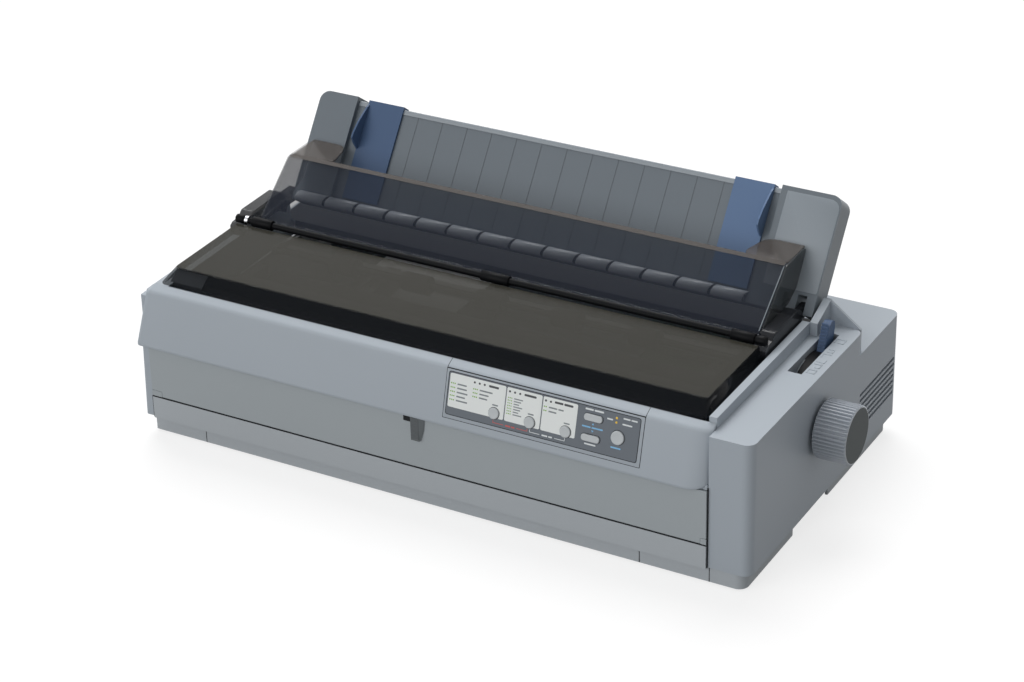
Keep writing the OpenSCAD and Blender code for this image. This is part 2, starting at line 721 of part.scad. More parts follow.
module interface_ports() placed() color([0.60, 0.61, 0.63]) {
    difference() {
        union() {
            box(parallel_x, parallel_x + parallel_w, case_d - port_d, case_d - 0.5, port_z, port_z + port_h);
            box(usb_x, usb_x + usb_w, case_d - port_d, case_d - 0.5, port_z, port_z + port_h - 2);
        }
        box(parallel_x + 5, parallel_x + parallel_w - 5, case_d - 6, case_d, port_z + 3, port_z + port_h - 3);
        box(usb_x + 2, usb_x + usb_w - 2, case_d - 8, case_d, port_z + 2, port_z + port_h - 4);
    }
}

feed_motor_half = 19;
supply_x = left_in + 60;
supply_w = 120;
supply_h = 40;
supply_gap = 16;
feed_motor_len = 36;
module feed_motor() placed() color([0.35, 0.36, 0.38]) difference() {
    box(frame_x0, frame_x0 + feed_motor_len, pinion_u - feed_motor_half, pinion_u + feed_motor_half,
        pinion_z - feed_motor_half, pinion_z + feed_motor_half);
    rod_x(frame_x0 - 1, frame_x0 + 20, pinion_u, pinion_z, motor_shaft_r + fit);
}

carriage_motor_r = 17;
motor_top = belt_z - 4;
module carriage_motor() placed() color([0.35, 0.36, 0.38]) difference() {
    translate([pulley_x1, belt_u, floor_top]) cylinder(h = motor_top - floor_top, r = carriage_motor_r);
    translate([pulley_x1, belt_u, floor_top + 8]) cylinder(h = motor_top, r = motor_shaft_r + fit);
}

module belt_loop(r) {
    translate([pulley_x0, belt_u - r]) square([pulley_x1 - pulley_x0, 2 * r]);
    for (x = [pulley_x0, pulley_x1]) translate([x, belt_u]) circle(r);
}

module carriage_belt() placed() color([0.10, 0.10, 0.10])
    translate([0, 0, belt_z]) linear_extrude(belt_h) difference() {
        belt_loop(pulley_r + belt_gap + belt_t);
        belt_loop(pulley_r + belt_gap);
    }

module drive_pulley() placed() color([0.78, 0.79, 0.80]) translate([pulley_x1, belt_u, 0]) {
    translate([0, 0, belt_z - 0.5]) cylinder(h = belt_h + 1, r = pulley_r);
    translate([0, 0, floor_top + 10]) cylinder(h = belt_z - floor_top - 9, r = motor_shaft_r);
}

module idler_pulley() placed() color([0.78, 0.79, 0.80]) translate([pulley_x0, belt_u, belt_z - 0.5])
    difference() {
        cylinder(h = belt_h + 1, r = pulley_r);
        translate([0, 0, -1]) cylinder(h = belt_h + 3, r = 3 + fit);
    }

// ---- Ribbon cartridge ----

cart_x0 = frame_x0 + 4;
cart_x1 = frame_x1 - 4;
cart_u0 = 36;
cart_u1 = 88;
cart_z0 = frame_h - 11;
cart_z1 = frame_h + 5;
cart_arm = 10;
nose_u = platen_u - platen_r - 2.2;
ribbon_knob_x = cart_x0 + 22;
ribbon_knob_u = 62;
ribbon_knob_r = 11;

module ribbon_cartridge() placed() color([0.20, 0.21, 0.22]) {
    difference() {
        union() {
            box(cart_x0, cart_x1, cart_u0, cart_u1, cart_z0, cart_z1);
            for (x = [cart_x0, cart_x1 - cart_arm])
                box(x, x + cart_arm, cart_u1 - 4, nose_u + 0.6, platen_z - 8, cart_z1 - 3);
            for (x = [cart_x0 - 7, cart_x1 - 2])
                box(x, x + 9, cart_u0 + 26, cart_u1 - 8, frame_h, frame_h + 3);
        }
        translate([ribbon_knob_x, ribbon_knob_u, cart_z1 - 10]) cylinder(h = 12, r = 3 + fit);
    }
    // Inked ribbon between the arms
    box(cart_x0 + cart_arm - 1, cart_x1 - cart_arm + 1, nose_u + 0.3, nose_u + 0.6, platen_z - 6, platen_z + 6);
}

module ribbon_knob() placed() color([0.30, 0.31, 0.33]) translate([ribbon_knob_x, ribbon_knob_u, cart_z1]) {
    translate([0, 0, hole_gap]) cylinder(h = 6, r = ribbon_knob_r);
    translate([0, 0, -9]) cylinder(h = 10, r = 3);
}

// ---- Platen and feed train ----

module platen_roller() placed() color([0.12, 0.12, 0.12]) difference() {
    rod_x(frame_x0 + bush_flange + 1, frame_x1 - bush_flange - 1, platen_u, platen_z, platen_r);
    rod_x(frame_x0, frame_x1, platen_u, platen_z, shaft_r + 0.02);
}

knob_x0 = right_x + knob_gap;
knob_wall = 4;
module platen_shaft() placed() color([0.78, 0.79, 0.80])
    rod_x(gear_x - 1, knob_x0 + knob_len - knob_wall - 3, platen_u, platen_z, shaft_r);

module feed_knob() placed() color([0.38, 0.40, 0.42])
    translate([knob_x0, platen_u, platen_z]) rotate([0, 90, 0]) difference() {
        rotate_extrude() polygon([[0, 0], [knob_r - 1, 0], [knob_r, 1.5], [knob_r - 1, knob_len - 2],
            [knob_r - 3, knob_len], [knob_r - 6, knob_len], [knob_r - 7, knob_len - 1], [0, knob_len - 1]]);
        translate([0, 0, -1]) cylinder(h = knob_len - knob_wall - 1, r = shaft_r + 0.02);
    }

module platen_gear() placed() color([0.85, 0.85, 0.82])
    translate([0, platen_u, platen_z]) gear(platen_teeth, shaft_r + 0.02, idler_angle);

module idler_gear() placed() color([0.85, 0.85, 0.82])
    translate([0, idler_u, idler_z]) gear(idler_teeth, stud_r + fit, idler_start);

module motor_pinion() placed() color([0.80, 0.68, 0.38]) {
    translate([0, pinion_u, pinion_z]) gear(pinion_teeth, motor_shaft_r - 0.5, pinion_start);
    rod_x(gear_x, frame_x0 + 18, pinion_u, pinion_z, motor_shaft_r);
}

module tractor_gear() placed() color([0.85, 0.85, 0.82])
    translate([0, tractor_u, tractor_z]) gear(idler_teeth, tractor_shaft_r + 0.02, tractor_start);

module tractor_shaft() placed() color([0.78, 0.79, 0.80])
    rod_x(gear_x - 1, frame_x1 + frame_t + 1, tractor_u, tractor_z, tractor_shaft_r);

tractor_w = 16;
tractor_pin_n = 5;
left_tractor_x = frame_x0 + 62;
right_tractor_x = frame_x1 - 66;

module tractor(x0) placed() color([0.22, 0.24, 0.27]) difference() {
    union() {
        box(x0, x0 + tractor_w, tractor_u - 14, tractor_rail_u + 10, tractor_z - 9, tractor_z + 9);
        for (i = [0 : tractor_pin_n - 1])
            translate([x0 + tractor_w / 2, tractor_u - 6 + i * 12.7, tractor_z + 9 - eps]) cylinder(h = 2, r = 1.7);
    }
    rod_x(x0 - 1, x0 + tractor_w + 1, tractor_u, tractor_z, tractor_shaft_r + fit);
    rod_x(x0 - 1, x0 + tractor_w + 1, tractor_rail_u, tractor_rail_z, tractor_rail_r + fit);
}

module left_tractor() tractor(left_tractor_x);
module right_tractor() tractor(right_tractor_x);

// ---- Carriage ----

module carriage() placed() color([0.24, 0.25, 0.27]) {
    x0 = home_x - carriage_w / 2;
    x1 = home_x + carriage_w / 2;
    finger_top = 78;
    difference() {
        union() {
            box(x0, x1, head_u - 11, head_u + 15, belt_z + belt_h + 2, head_z + 13);
            // Arm and fingers that ride on the guide rail
            box(x0 + 8, x1 - 8, plate_u - 3, head_u - 10, finger_top - 4, finger_top);
            box(x0 + 8, x1 - 8, head_u - 11, head_u, head_z + 12, finger_top);
            box(x0 + 8, x1 - 8, plate_u - 3, plate_u - hole_gap, 66, finger_top);
            box(x0 + 8, x1 - 8, plate_u + 2 + hole_gap, plate_u + 5, 66, finger_top);
            // Clamps on both sides of the front run of the belt
            box(home_x - 8, home_x + 8, belt_u - pulley_r - belt_gap - belt_t - 3.3,
                belt_u - pulley_r - belt_gap - belt_t - hole_gap, belt_z + 0.5, belt_z + belt_h + 3);
            box(home_x - 8, home_x + 8, belt_u - pulley_r - belt_gap + hole_gap,
                belt_u - pulley_r - belt_gap + 3.3, belt_z + 0.5, belt_z + belt_h + 3);
        }
        rod_x(x0 - 1, x1 + 1, head_u, head_z, rail_r + fit);
    }
}

module print_head() placed() color([0.30, 0.31, 0.33]) {
    box(home_x - 15, home_x + 15, head_u + 1, head_u + 17, head_z + 13, head_z + 42);
    for (i = [0 : 4]) box(home_x - 19, home_x + 19, head_u + 2, head_u + 14, head_z + 16 + 5 * i, head_z + 18 + 5 * i);
    box(home_x - 7, home_x + 7, head_u + 16, nose_u, platen_z - 5, platen_z + 6);
}

// ---- Tension unit and levers ----

tension_arm_t = 3;
tension_shaft_r = 2.5;
module tension_bar() placed() color([0.22, 0.23, 0.25]) difference() {
    union() {
        for (x = [frame_x0 + 1, frame_x1 - 1 - tension_arm_t]) {
            along_x(x, x + tension_arm_t, [[tension_u, tension_z - 5], [tension_u, tension_z + 5],
                [tension_pivot_u, tension_pivot_z + 5], [tension_pivot_u, tension_pivot_z - 5]]);
            rod_x(x, x + tension_arm_t, tension_u, tension_z, 5);
            rod_x(x, x + tension_arm_t, tension_pivot_u, tension_pivot_z, 5);
        }
        box(frame_x0 + 2, frame_x1 - 2, tension_u + tension_r + 3, tension_u + tension_r + 10, tension_pivot_z,
            tension_pivot_z + 4);
        rod_x(frame_x0 - frame_t, frame_x0 + 2, tension_pivot_u, tension_pivot_z, tension_pin_r);
        rod_x(frame_x1 - 2, frame_x1 + frame_t, tension_pivot_u, tension_pivot_z, tension_pin_r);
    }
    for (x = [frame_x0 + 1, frame_x1 - 1 - tension_arm_t])
        rod_x(x - 0.5, x + tension_arm_t + 0.5, tension_u, tension_z, tension_shaft_r + fit);
}

roller_n = 5;
roller_w = 26;
roller_pitch = 77;
roller_mid = mid_x - 9;
module tension_rollers() placed() color([0.16, 0.16, 0.17]) {
    rod_x(frame_x0 + 0.5, frame_x1 - 0.5, tension_u, tension_z, tension_shaft_r);
    for (i = [0 : roller_n - 1]) {
        x = roller_mid + (i - (roller_n - 1) / 2) * roller_pitch - roller_w / 2;
        rod_x(x, x + roller_w, tension_u, tension_z, tension_r);
    }
}

lever_len = 88;
module release_lever() placed() color([0.27, 0.35, 0.49])
    translate([0, lever_u, lever_z]) rotate([-lever_tilt, 0, 0]) difference() {
        union() {
            along_x(lever_x, lever_x + lever_t, [[-6, 0], [-9, 62], [-7, lever_len - 4], [-3, lever_len],
                [3, lever_len], [6, lever_len - 4], [9, 62], [6, 0]]);
            rod_x(lever_x, lever_x + lever_t, 0, 0, 8);
        }
        rod_x(lever_x - 1, lever_x + lever_t + 1, 0, 0, hinge_r + fit);
    }

module thickness_lever() placed() color([0.27, 0.35, 0.49]) difference() {
    union() {
        along_x(frame_x1 + frame_t + 0.5, frame_x1 + frame_t + 4.5, [[thick_u - 5, thick_z], [thick_u - 3, 134],
            [thick_u + 5, 134], [thick_u + 5, thick_z]]);
        rod_x(frame_x1 + frame_t + 0.5, frame_x1 + frame_t + 4.5, thick_u, thick_z, 6);
    }
    rod_x(frame_x1, frame_x1 + frame_t + 8, thick_u, thick_z, thick_pin_r + fit);
}

// ---- Printer cover and hood ----

cover_rear = rod_u - knuckle_r - 1;
arm_top = rod_h + 4;
hinge_boss_r = 5.5;
lug_r = 6.5;
lug_x0 = cover_x1 - 9.5;
lug_x1 = cover_x1 - 3.5;
left_lug_x0 = cover_x0 + 3;
left_lug_x1 = cover_x0 + arm_w;

module cover_arm(x0, x1) {
    along_x(x0, x1, [[cover_rear - 8, rim_z], [cover_rear - 8, cover_top - 2], [rod_u - 2, arm_top],
        [hinge_u - 12, arm_top], [hinge_u - 3, arm_top - 5], [hinge_u - 2, hinge_z],
        [hinge_u - 4, hinge_z - 5], [hinge_u - 12, rim_z]]);
    rod_x(x0, x1, hinge_u, hinge_z, hinge_boss_r);
    rod_x(x0, x1, rod_u, rod_h, knuckle_r);
}

module pivot_lug(x0, x1) {
    along_x(x0, x1, [[hinge_u - 6, pivot_z - lug_r], [hinge_u - 6, pivot_z + lug_r],
        [pivot_u, pivot_z + lug_r], [pivot_u, pivot_z - lug_r]]);
    rod_x(x0, x1, pivot_u, pivot_z, lug_r);
}

module printer_cover() placed() color([0.20, 0.21, 0.22, 0.6]) difference() {
    union() {
        difference() {
            hull() {
                box(cover_x0, cover_x1, cover_front, cover_rear, rim_z, rim_z + 1);
                box(cover_x0 + bevel_side, cover_x1 - bevel_side, cover_front + bevel_back, cover_rear,
                    cover_top - 1, cover_top);
            }
            hull() {
                box(cover_x0 + smoke_t, cover_x1 - smoke_t, cover_front + smoke_t * 1.5, cover_rear + 1,
                    rim_z - 1, rim_z + 1);
                box(cover_x0 + bevel_side + smoke_t * 0.7, cover_x1 - bevel_side - smoke_t * 0.7,
                    cover_front + bevel_back + smoke_t * 0.7, cover_rear + 1, cover_top - smoke_t - 1,
                    cover_top - smoke_t);
            }
        }
        cover_arm(cover_x0, cover_x0 + arm_w);
        cover_arm(cover_x1 - arm_w, cover_x1);
        pivot_lug(left_lug_x0, left_lug_x1);
        pivot_lug(lug_x0, lug_x1);
        rod_x(cover_x1 - 2, right_in + 6, hinge_u, hinge_z, hinge_r);
        rod_x(left_in - 4, cover_x0 + 2, hinge_u, hinge_z, hinge_r);
    }
    rod_x(cover_x0 + 4, cover_x1 - 4, rod_u, rod_h, rod_r + fit);
    rod_x(left_lug_x0 - 1, left_lug_x1 + 1, pivot_u, pivot_z, hinge_r + fit);
    rod_x(lug_x0 - 1, lug_x1 + 1, pivot_u, pivot_z, hinge_r + fit);
}

module hood_rod() placed() color([0.30, 0.31, 0.33])
    rod_x(cover_x0 + 4.5, cover_x1 - 4.5, rod_u, rod_h, rod_r);

barrel_r = 4.8;
hood_tab_z = rod_h - 2;
module hood() placed() color([0.22, 0.23, 0.25, 0.6]) difference() {
    union() {
        rod_x(hood_x0, hood_x1, rod_u, rod_h, barrel_r);
        along_x(hood_x0, hood_x1, [[rod_u, hood_tab_z], [hood_low_u, hood_tab_z], [hood_top_u + 1, hood_h - smoke_t],
            [hood_top_u + 6, hood_h - smoke_t], [hood_top_u + 6, hood_h], [hood_top_u, hood_h],
            [hood_low_u - 1, hood_tab_z + smoke_t], [rod_u, hood_tab_z + smoke_t]]);
        for (x = [hood_x0, hood_x1 - smoke_t])
            along_x(x, x + smoke_t, [[hood_low_u, hood_tab_z], [hood_top_u, hood_h], [ear_back, hood_h],
                [hinge_u + 14, arm_top + 6], [hinge_u - 3, arm_top - 2]]);
        for (x = [hood_x0, hood_x1 - ear_w])
            box(x, x + ear_w, hood_top_u, ear_back, hood_h - smoke_t, hood_h);
    }
    rod_x(hood_x0 - 1, hood_x1 + 1, rod_u, rod_h, rod_r + fit);
}

// ---- Sheet guide ----

guide_round = 10;
guide_skin = 3;
notch_gap = 1.2;
bar_r = 4.5;
bar_x0 = guide_x0 + 5;
bar_x1 = guide_x1 - right_ear_w - 6;
mid_top = guide_len - 3;

module guide_face(x0, x1, len, r) {
    translate([x0, 0]) square([x1 - x0, len - r]);
    translate([x0 + r, 0]) square([x1 - x0 - 2 * r, len]);
    for (x = [x0 + r, x1 - r]) translate([x, len - r]) circle(r);
}

module sheet_guide() placed() color([0.45, 0.49, 0.53]) on_guide() {
    difference() {
        union() {
            translate([0, guide_t, 0]) rotate([90, 0, 0]) linear_extrude(guide_t)
                guide_face(guide_x0, guide_x1, guide_len, guide_round);
            // Round bar along the foot
            translate([bar_x0, 0.5, bar_r]) rotate([0, 90, 0]) cylinder(h = bar_x1 - bar_x0, r = bar_r);
        }
        // Recessed middle panel
        box(guide_x0 + left_ear_w, guide_x1 - right_ear_w, -1, guide_recess, 9, guide_len + 1);
        box(guide_x0 + left_ear_w, guide_x1 - right_ear_w, -1, guide_t + 1, mid_top, guide_len + 1);
        // Hollow back
        box(guide_x0 + guide_skin, guide_x1 - guide_skin, guide_recess + guide_skin, guide_t + 1, 19,
            guide_len - 12);
        // Notch for the cover's lug
        box(lug_x0 - notch_gap, lug_x1 + notch_gap, -1, guide_t + 1, -1, pivot_t + lug_r + 2.5);
    }
    // Pivot pins
    translate([0, pivot_o, pivot_t]) rotate([0, 90, 0]) {
        translate([0, 0, left_lug_x0 + 1]) cylinder(h = guide_x0 - left_lug_x0, r = hinge_r);
        translate([0, 0, lug_x0 - 3]) cylinder(h = lug_x1 - lug_x0 + 6, r = hinge_r);
    }
}

wing_t = 1.6;
wing_h = 12;
wing_low = 63;
edge_t = 2;
module edge_guide(x0, wing_x) {
    box(x0, x0 + edge_w, guide_recess - hole_gap - edge_t, guide_recess - hole_gap, 12, mid_top + hole_gap + edge_t);
    box(x0, x0 + edge_w, guide_recess - hole_gap - edge_t, guide_recess + 8, mid_top + hole_gap,
        mid_top + hole_gap + edge_t);
    translate([wing_x, 0, 0]) rotate([90, 0, 90]) linear_extrude(wing_t)
        polygon([[guide_recess - 1, mid_top], [0, mid_top - 5], [4 - wing_h, mid_top - 21],
            [-wing_h, mid_top - 33], [-wing_h, wing_low + 4], [-wing_h / 2, wing_low],
            [guide_recess - 1, wing_low - 4]]);
}

left_edge_x = guide_x0 + left_ear_w + 11;
right_edge_x = guide_x1 - right_ear_w - 8 - edge_w;
module left_edge_guide() placed() color([0.29, 0.39, 0.54]) on_guide() edge_guide(left_edge_x, left_edge_x);
module right_edge_guide() placed() color([0.35, 0.46, 0.60]) on_guide()
    edge_guide(right_edge_x, right_edge_x + edge_w - wing_t);

base_tray();
rubber_feet();
upper_case();
cover_rail();
case_screws();
front_lip();
control_bezel();
control_overlay();
label_panels();
indicator_leds();
control_board();
left_side_frame();
right_side_frame();
platen_bushings();
carriage_shaft();
guide_rail();
tractor_rail();
paper_pan();
main_board();
power_supply();
power_inlet();
interface_ports();
feed_motor();
carriage_motor();
carriage_belt();
ribbon_cartridge();
ribbon_knob();
platen_roller();
platen_shaft();
feed_knob();
platen_gear();
idler_gear();
motor_pinion();
tractor_shaft();
tractor_gear();
left_tractor();
right_tractor();
carriage();
print_head();
drive_pulley();
idler_pulley();
tension_bar();
tension_rollers();
release_lever();
thickness_lever();
printer_cover();
hood_rod();
hood();
sheet_guide();
left_edge_guide();
right_edge_guide();
front_cover();
front_latch();
power_switch();
button_font();
button_pitch();
button_tear_off();
button_load();
button_line_feed();
button_pause();
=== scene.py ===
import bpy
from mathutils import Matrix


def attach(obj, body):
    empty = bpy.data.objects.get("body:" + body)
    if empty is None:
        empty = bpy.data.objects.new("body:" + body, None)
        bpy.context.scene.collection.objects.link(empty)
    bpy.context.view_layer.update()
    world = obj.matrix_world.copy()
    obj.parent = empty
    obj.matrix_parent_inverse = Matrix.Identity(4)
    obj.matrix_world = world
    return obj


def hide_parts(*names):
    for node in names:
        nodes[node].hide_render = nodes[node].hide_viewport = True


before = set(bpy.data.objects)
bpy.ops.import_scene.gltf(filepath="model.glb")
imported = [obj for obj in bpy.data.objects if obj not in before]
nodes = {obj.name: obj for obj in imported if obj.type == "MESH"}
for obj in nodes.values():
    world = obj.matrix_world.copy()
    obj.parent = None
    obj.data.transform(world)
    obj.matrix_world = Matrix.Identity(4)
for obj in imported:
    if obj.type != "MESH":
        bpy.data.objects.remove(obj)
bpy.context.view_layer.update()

import math

import bmesh
import bpy
from mathutils import Matrix, Vector

MM = 0.001
FRONT_Y = -155.5          # the front panel plane, in mm, in the row frame
LIFT = 5.0                # the drawing's zero above the underside of the feet
ROD = (138, 157)          # (u, z) of the rod on which the hood turns
COVER_PIVOT = (208, 140)
KNOB_AXIS = (141, 86)
scene = bpy.context.scene

# ---------------------------------------------------------------- frames of the drawing, in mm


def plain(x, u, z):
    """x across, u behind the front panel plane, z up."""
    return Vector((x * MM, (u + FRONT_Y) * MM, (z + LIFT) * MM))


FACE_U, FACE_Z = -5.0, 90.0          # foot of the sloping lip face
FACE_UP = (0.268, 0.9634)            # (u, z) of one step up its slope


def on_lip(x, out, t):
    """The sloping lip face: x along it, out of the face, t up its slope."""
    return plain(x, FACE_U + t * FACE_UP[0] - out * FACE_UP[1],
                 FACE_Z + t * FACE_UP[1] + out * FACE_UP[0])


GUIDE_U, GUIDE_Z = 211.0, 148.0      # foot of the sheet guide
GUIDE_UP = (0.5878, 0.809)


def on_guide(x, deep, t):
    """The sheet guide: x along it, deep towards its back, t up its slope."""
    return plain(x, GUIDE_U + t * GUIDE_UP[0] + deep * GUIDE_UP[1],
                 GUIDE_Z + t * GUIDE_UP[1] - deep * GUIDE_UP[0])


def fillet(points, radius, steps=4, closed=True):
    """Rounds the corners of a 2D outline; radius is one number, or a list with one for each point."""
    radii = radius if isinstance(radius, list) else [radius] * len(points)
    out = []
    for i, (point, r) in enumerate(zip(points, radii)):
        if r <= 0 or (not closed and i in (0, len(points) - 1)):
            out.append(tuple(point))
            continue
        p = Vector(point)
        a = Vector(points[i - 1]) - p
        b = Vector(points[(i + 1) % len(points)]) - p
        half = a.angle(b) / 2
        cut = min(r / math.tan(half), a.length * 0.49, b.length * 0.49)
        start, end = p + a.normalized() * cut, p + b.normalized() * cut
        for k in range(steps + 1):
            s = k / steps
            out.append(tuple(start * (1 - s) ** 2 + p * 2 * s * (1 - s) + end * s * s))
    return out


def round_rect(a0, a1, b0, b1, r, steps=4):
    return fillet([(a0, b0), (a1, b0), (a1, b1), (a0, b1)], r, steps)


def around(n):
    """n angles that share out a full turn."""
    return [2 * math.pi * k / n for k in range(n)]


def disc(a, b, r, n):
    return [(a + r * math.cos(angle), b + r * math.sin(angle)) for angle in around(n)]


class Shape:
    """Gathers forms and makes one piece of them. Sizes are in mm, in the frames above."""

    def __init__(self):
        self.bm = bmesh.new()

    def loft(self, rings, cap=True, ring_closed=True):
        grid = [[self.bm.verts.new(p) for p in ring] for ring in rings]
        n = len(grid[0])
        for low, high in zip(grid, grid[1:]):
            for i in range(n if ring_closed else n - 1):
                j = (i + 1) % n
                self.bm.faces.new((low[i], low[j], high[j], high[i]))
        if cap:
            self.bm.faces.new(grid[0][::-1])
            self.bm.faces.new(grid[-1])

    def plate(self, outline, to, low, high, inset=0.0):
        """An outline in (a, c) of a frame, from depth low to high; its high side may be inset."""
        count = len(outline)
        middle = Vector((sum(a for a, c in outline) / count, sum(c for a, c in outline) / count))

        def ring(depth, shrink):
            out = []
            for a, c in outline:
                v = Vector((a, c)) - middle
                k = max(0.0, 1 - shrink / max(v.length, 1e-6))
                out.append(to(middle.x + v.x * k, depth, middle.y + v.y * k))
            return out
        rings = [ring(low, 0), ring(high - inset * 0.7, 0)]
        if inset:
            rings += [ring(high - inset * 0.2, inset * 0.4), ring(high, inset)]
        self.loft(rings)

    def stack(self, sections, to=plain, **options):
        """Sections of (outline in (x, u), z), joined one to the next."""
        self.loft([[to(x, u, z) for x, u in outline] for outline, z in sections], **options)

    def block(self, x0, x1, u0, u1, z0, z1, to=plain):
        outline = ((x0, u0), (x1, u0), (x1, u1), (x0, u1))
        self.stack(((outline, z0), (outline, z1)), to)

    def across(self, outline, x0, x1, to=plain):
        """An outline in (u, z), drawn out along x."""
        self.loft([[to(x, u, z) for u, z in outline] for x in (x0, x1)])

    def along(self, outline, u0, u1):
        """An outline in (x, z), drawn out towards the back."""
        self.loft([[plain(x, u, z) for x, z in outline] for u in (u0, u1)])

    def lathe(self, profile, axis, segments):
        """A profile of (x, radius), turned about an axis along x."""
        self.loft([[plain(x, u, z) for u, z in disc(*axis, r, segments)] for x, r in profile])

    def collar(self, x0, x1, end, middle):
        """A short sleeve on the hood's rod: radius end at both ends, middle between them."""
        self.lathe([(x0, 3.1), (x0, end), (x0 + 0.4, middle), (x1 - 0.4, middle), (x1, end), (x1, 3.1)], ROD, 28)

    def piece(self, name, mat, body, slot, replaces=(), bevel=0.0, segments=2, angle=35, skin=0.0):
        """Makes the object. An open form gets its thickness inwards, from skin."""
        bmesh.ops.recalc_face_normals(self.bm, faces=self.bm.faces)
        mesh = bpy.data.meshes.new(name)
        self.bm.to_mesh(mesh)
        self.bm.free()
        obj = bpy.data.objects.new(name, mesh)
        scene.collection.objects.link(obj)
        mesh.materials.append(M[mat])
        mesh.shade_smooth()
        if skin:
            thick = obj.modifiers.new("skin", "SOLIDIFY")
            thick.thickness = skin * MM
            thick.offset = -1.0
            thick.use_even_offset = True
        if bevel:
            add_bevel(obj, bevel, segments, angle)
        else:
            mesh.set_sharp_from_angle(angle=math.radians(angle))
        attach(obj, body)
        if replaces:
            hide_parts(*replaces)


def add_bevel(obj, width, segments, angle):
    bev = obj.modifiers.new("edges", "BEVEL")
    bev.width = width * MM
    bev.segments = segments
    bev.limit_method = "ANGLE"
    bev.angle_limit = math.radians(angle)
    bev.use_clamp_overlap = True
    bev.harden_normals = True
    bev.miter_outer = "MITER_ARC"


def soften(name, width, segments, angle):
    """Rounds a CAD node's edges with modifiers; its own vertices stay."""
    obj = nodes[name]
    flat = obj.modifiers.new("planar", "DECIMATE")
    flat.decimate_type = "DISSOLVE"
    flat.angle_limit = math.radians(0.6)
    add_bevel(obj, width, segments, angle)
    obj.data.shade_smooth()


def srgb(r, g, b):
    """A linear colour from an 8-bit one."""
    def lin(c):
        c /= 255
        return c / 12.92 if c <= 0.04045 else ((c + 0.055) / 1.055) ** 2.4
    return (lin(r), lin(g), lin(b), 1.0)


# ---------------------------------------------------------------- materials

ROUGH_SPREAD = 0.06
GRAIN_DEPTH = 0.0004


def plastic(name, color, rough, grain, bump, mottle, alpha=1.0, metallic=0.0, shine=0.5):
    """Plastic, paint or metal: a fine grain in its surface, a slightly uneven tone and uneven gloss."""
    mat = bpy.data.materials.new(name)
    mat.use_nodes = True
    tree = mat.node_tree
    bsdf = tree.nodes["Principled BSDF"]
    link = tree.links.new
    coord = tree.nodes.new("ShaderNodeTexCoord")
    fine = tree.nodes.new("ShaderNodeTexNoise")
    fine.inputs["Scale"].default_value = grain
    fine.inputs["Detail"].default_value = 3.0
    link(coord.outputs["Object"], fine.inputs["Vector"])
    broad = tree.nodes.new("ShaderNodeTexNoise")
    broad.inputs["Scale"].default_value = 9.0
    broad.inputs["Detail"].default_value = 4.0
    link(coord.outputs["Object"], broad.inputs["Vector"])
    tone = tree.nodes.new("ShaderNodeMix")
    tone.data_type = "RGBA"
    tone.inputs[6].default_value = tuple(c * (1 - mottle) for c in color[:3]) + (1,)
    tone.inputs[7].default_value = tuple(min(1.0, c * (1 + mottle)) for c in color[:3]) + (1,)
    link(broad.outputs["Fac"], tone.inputs[0])
    link(tone.outputs[2], bsdf.inputs["Base Color"])
    gloss = tree.nodes.new("ShaderNodeMapRange")
    gloss.inputs["To Min"].default_value = rough - ROUGH_SPREAD
    gloss.inputs["To Max"].default_value = rough + ROUGH_SPREAD
    link(fine.outputs["Fac"], gloss.inputs["Value"])
    link(gloss.outputs["Result"], bsdf.inputs["Roughness"])
    if bump > 0:
        bmp = tree.nodes.new("ShaderNodeBump")
        bmp.inputs["Strength"].default_value = bump
        bmp.inputs["Distance"].default_value = GRAIN_DEPTH
        link(fine.outputs["Fac"], bmp.inputs["Height"])
        link(bmp.outputs["Normal"], bsdf.inputs["Normal"])
    bsdf.inputs["Metallic"].default_value = metallic
    bsdf.inputs["Alpha"].default_value = alpha
    bsdf.inputs["Specular IOR Level"].default_value = shine
    return mat


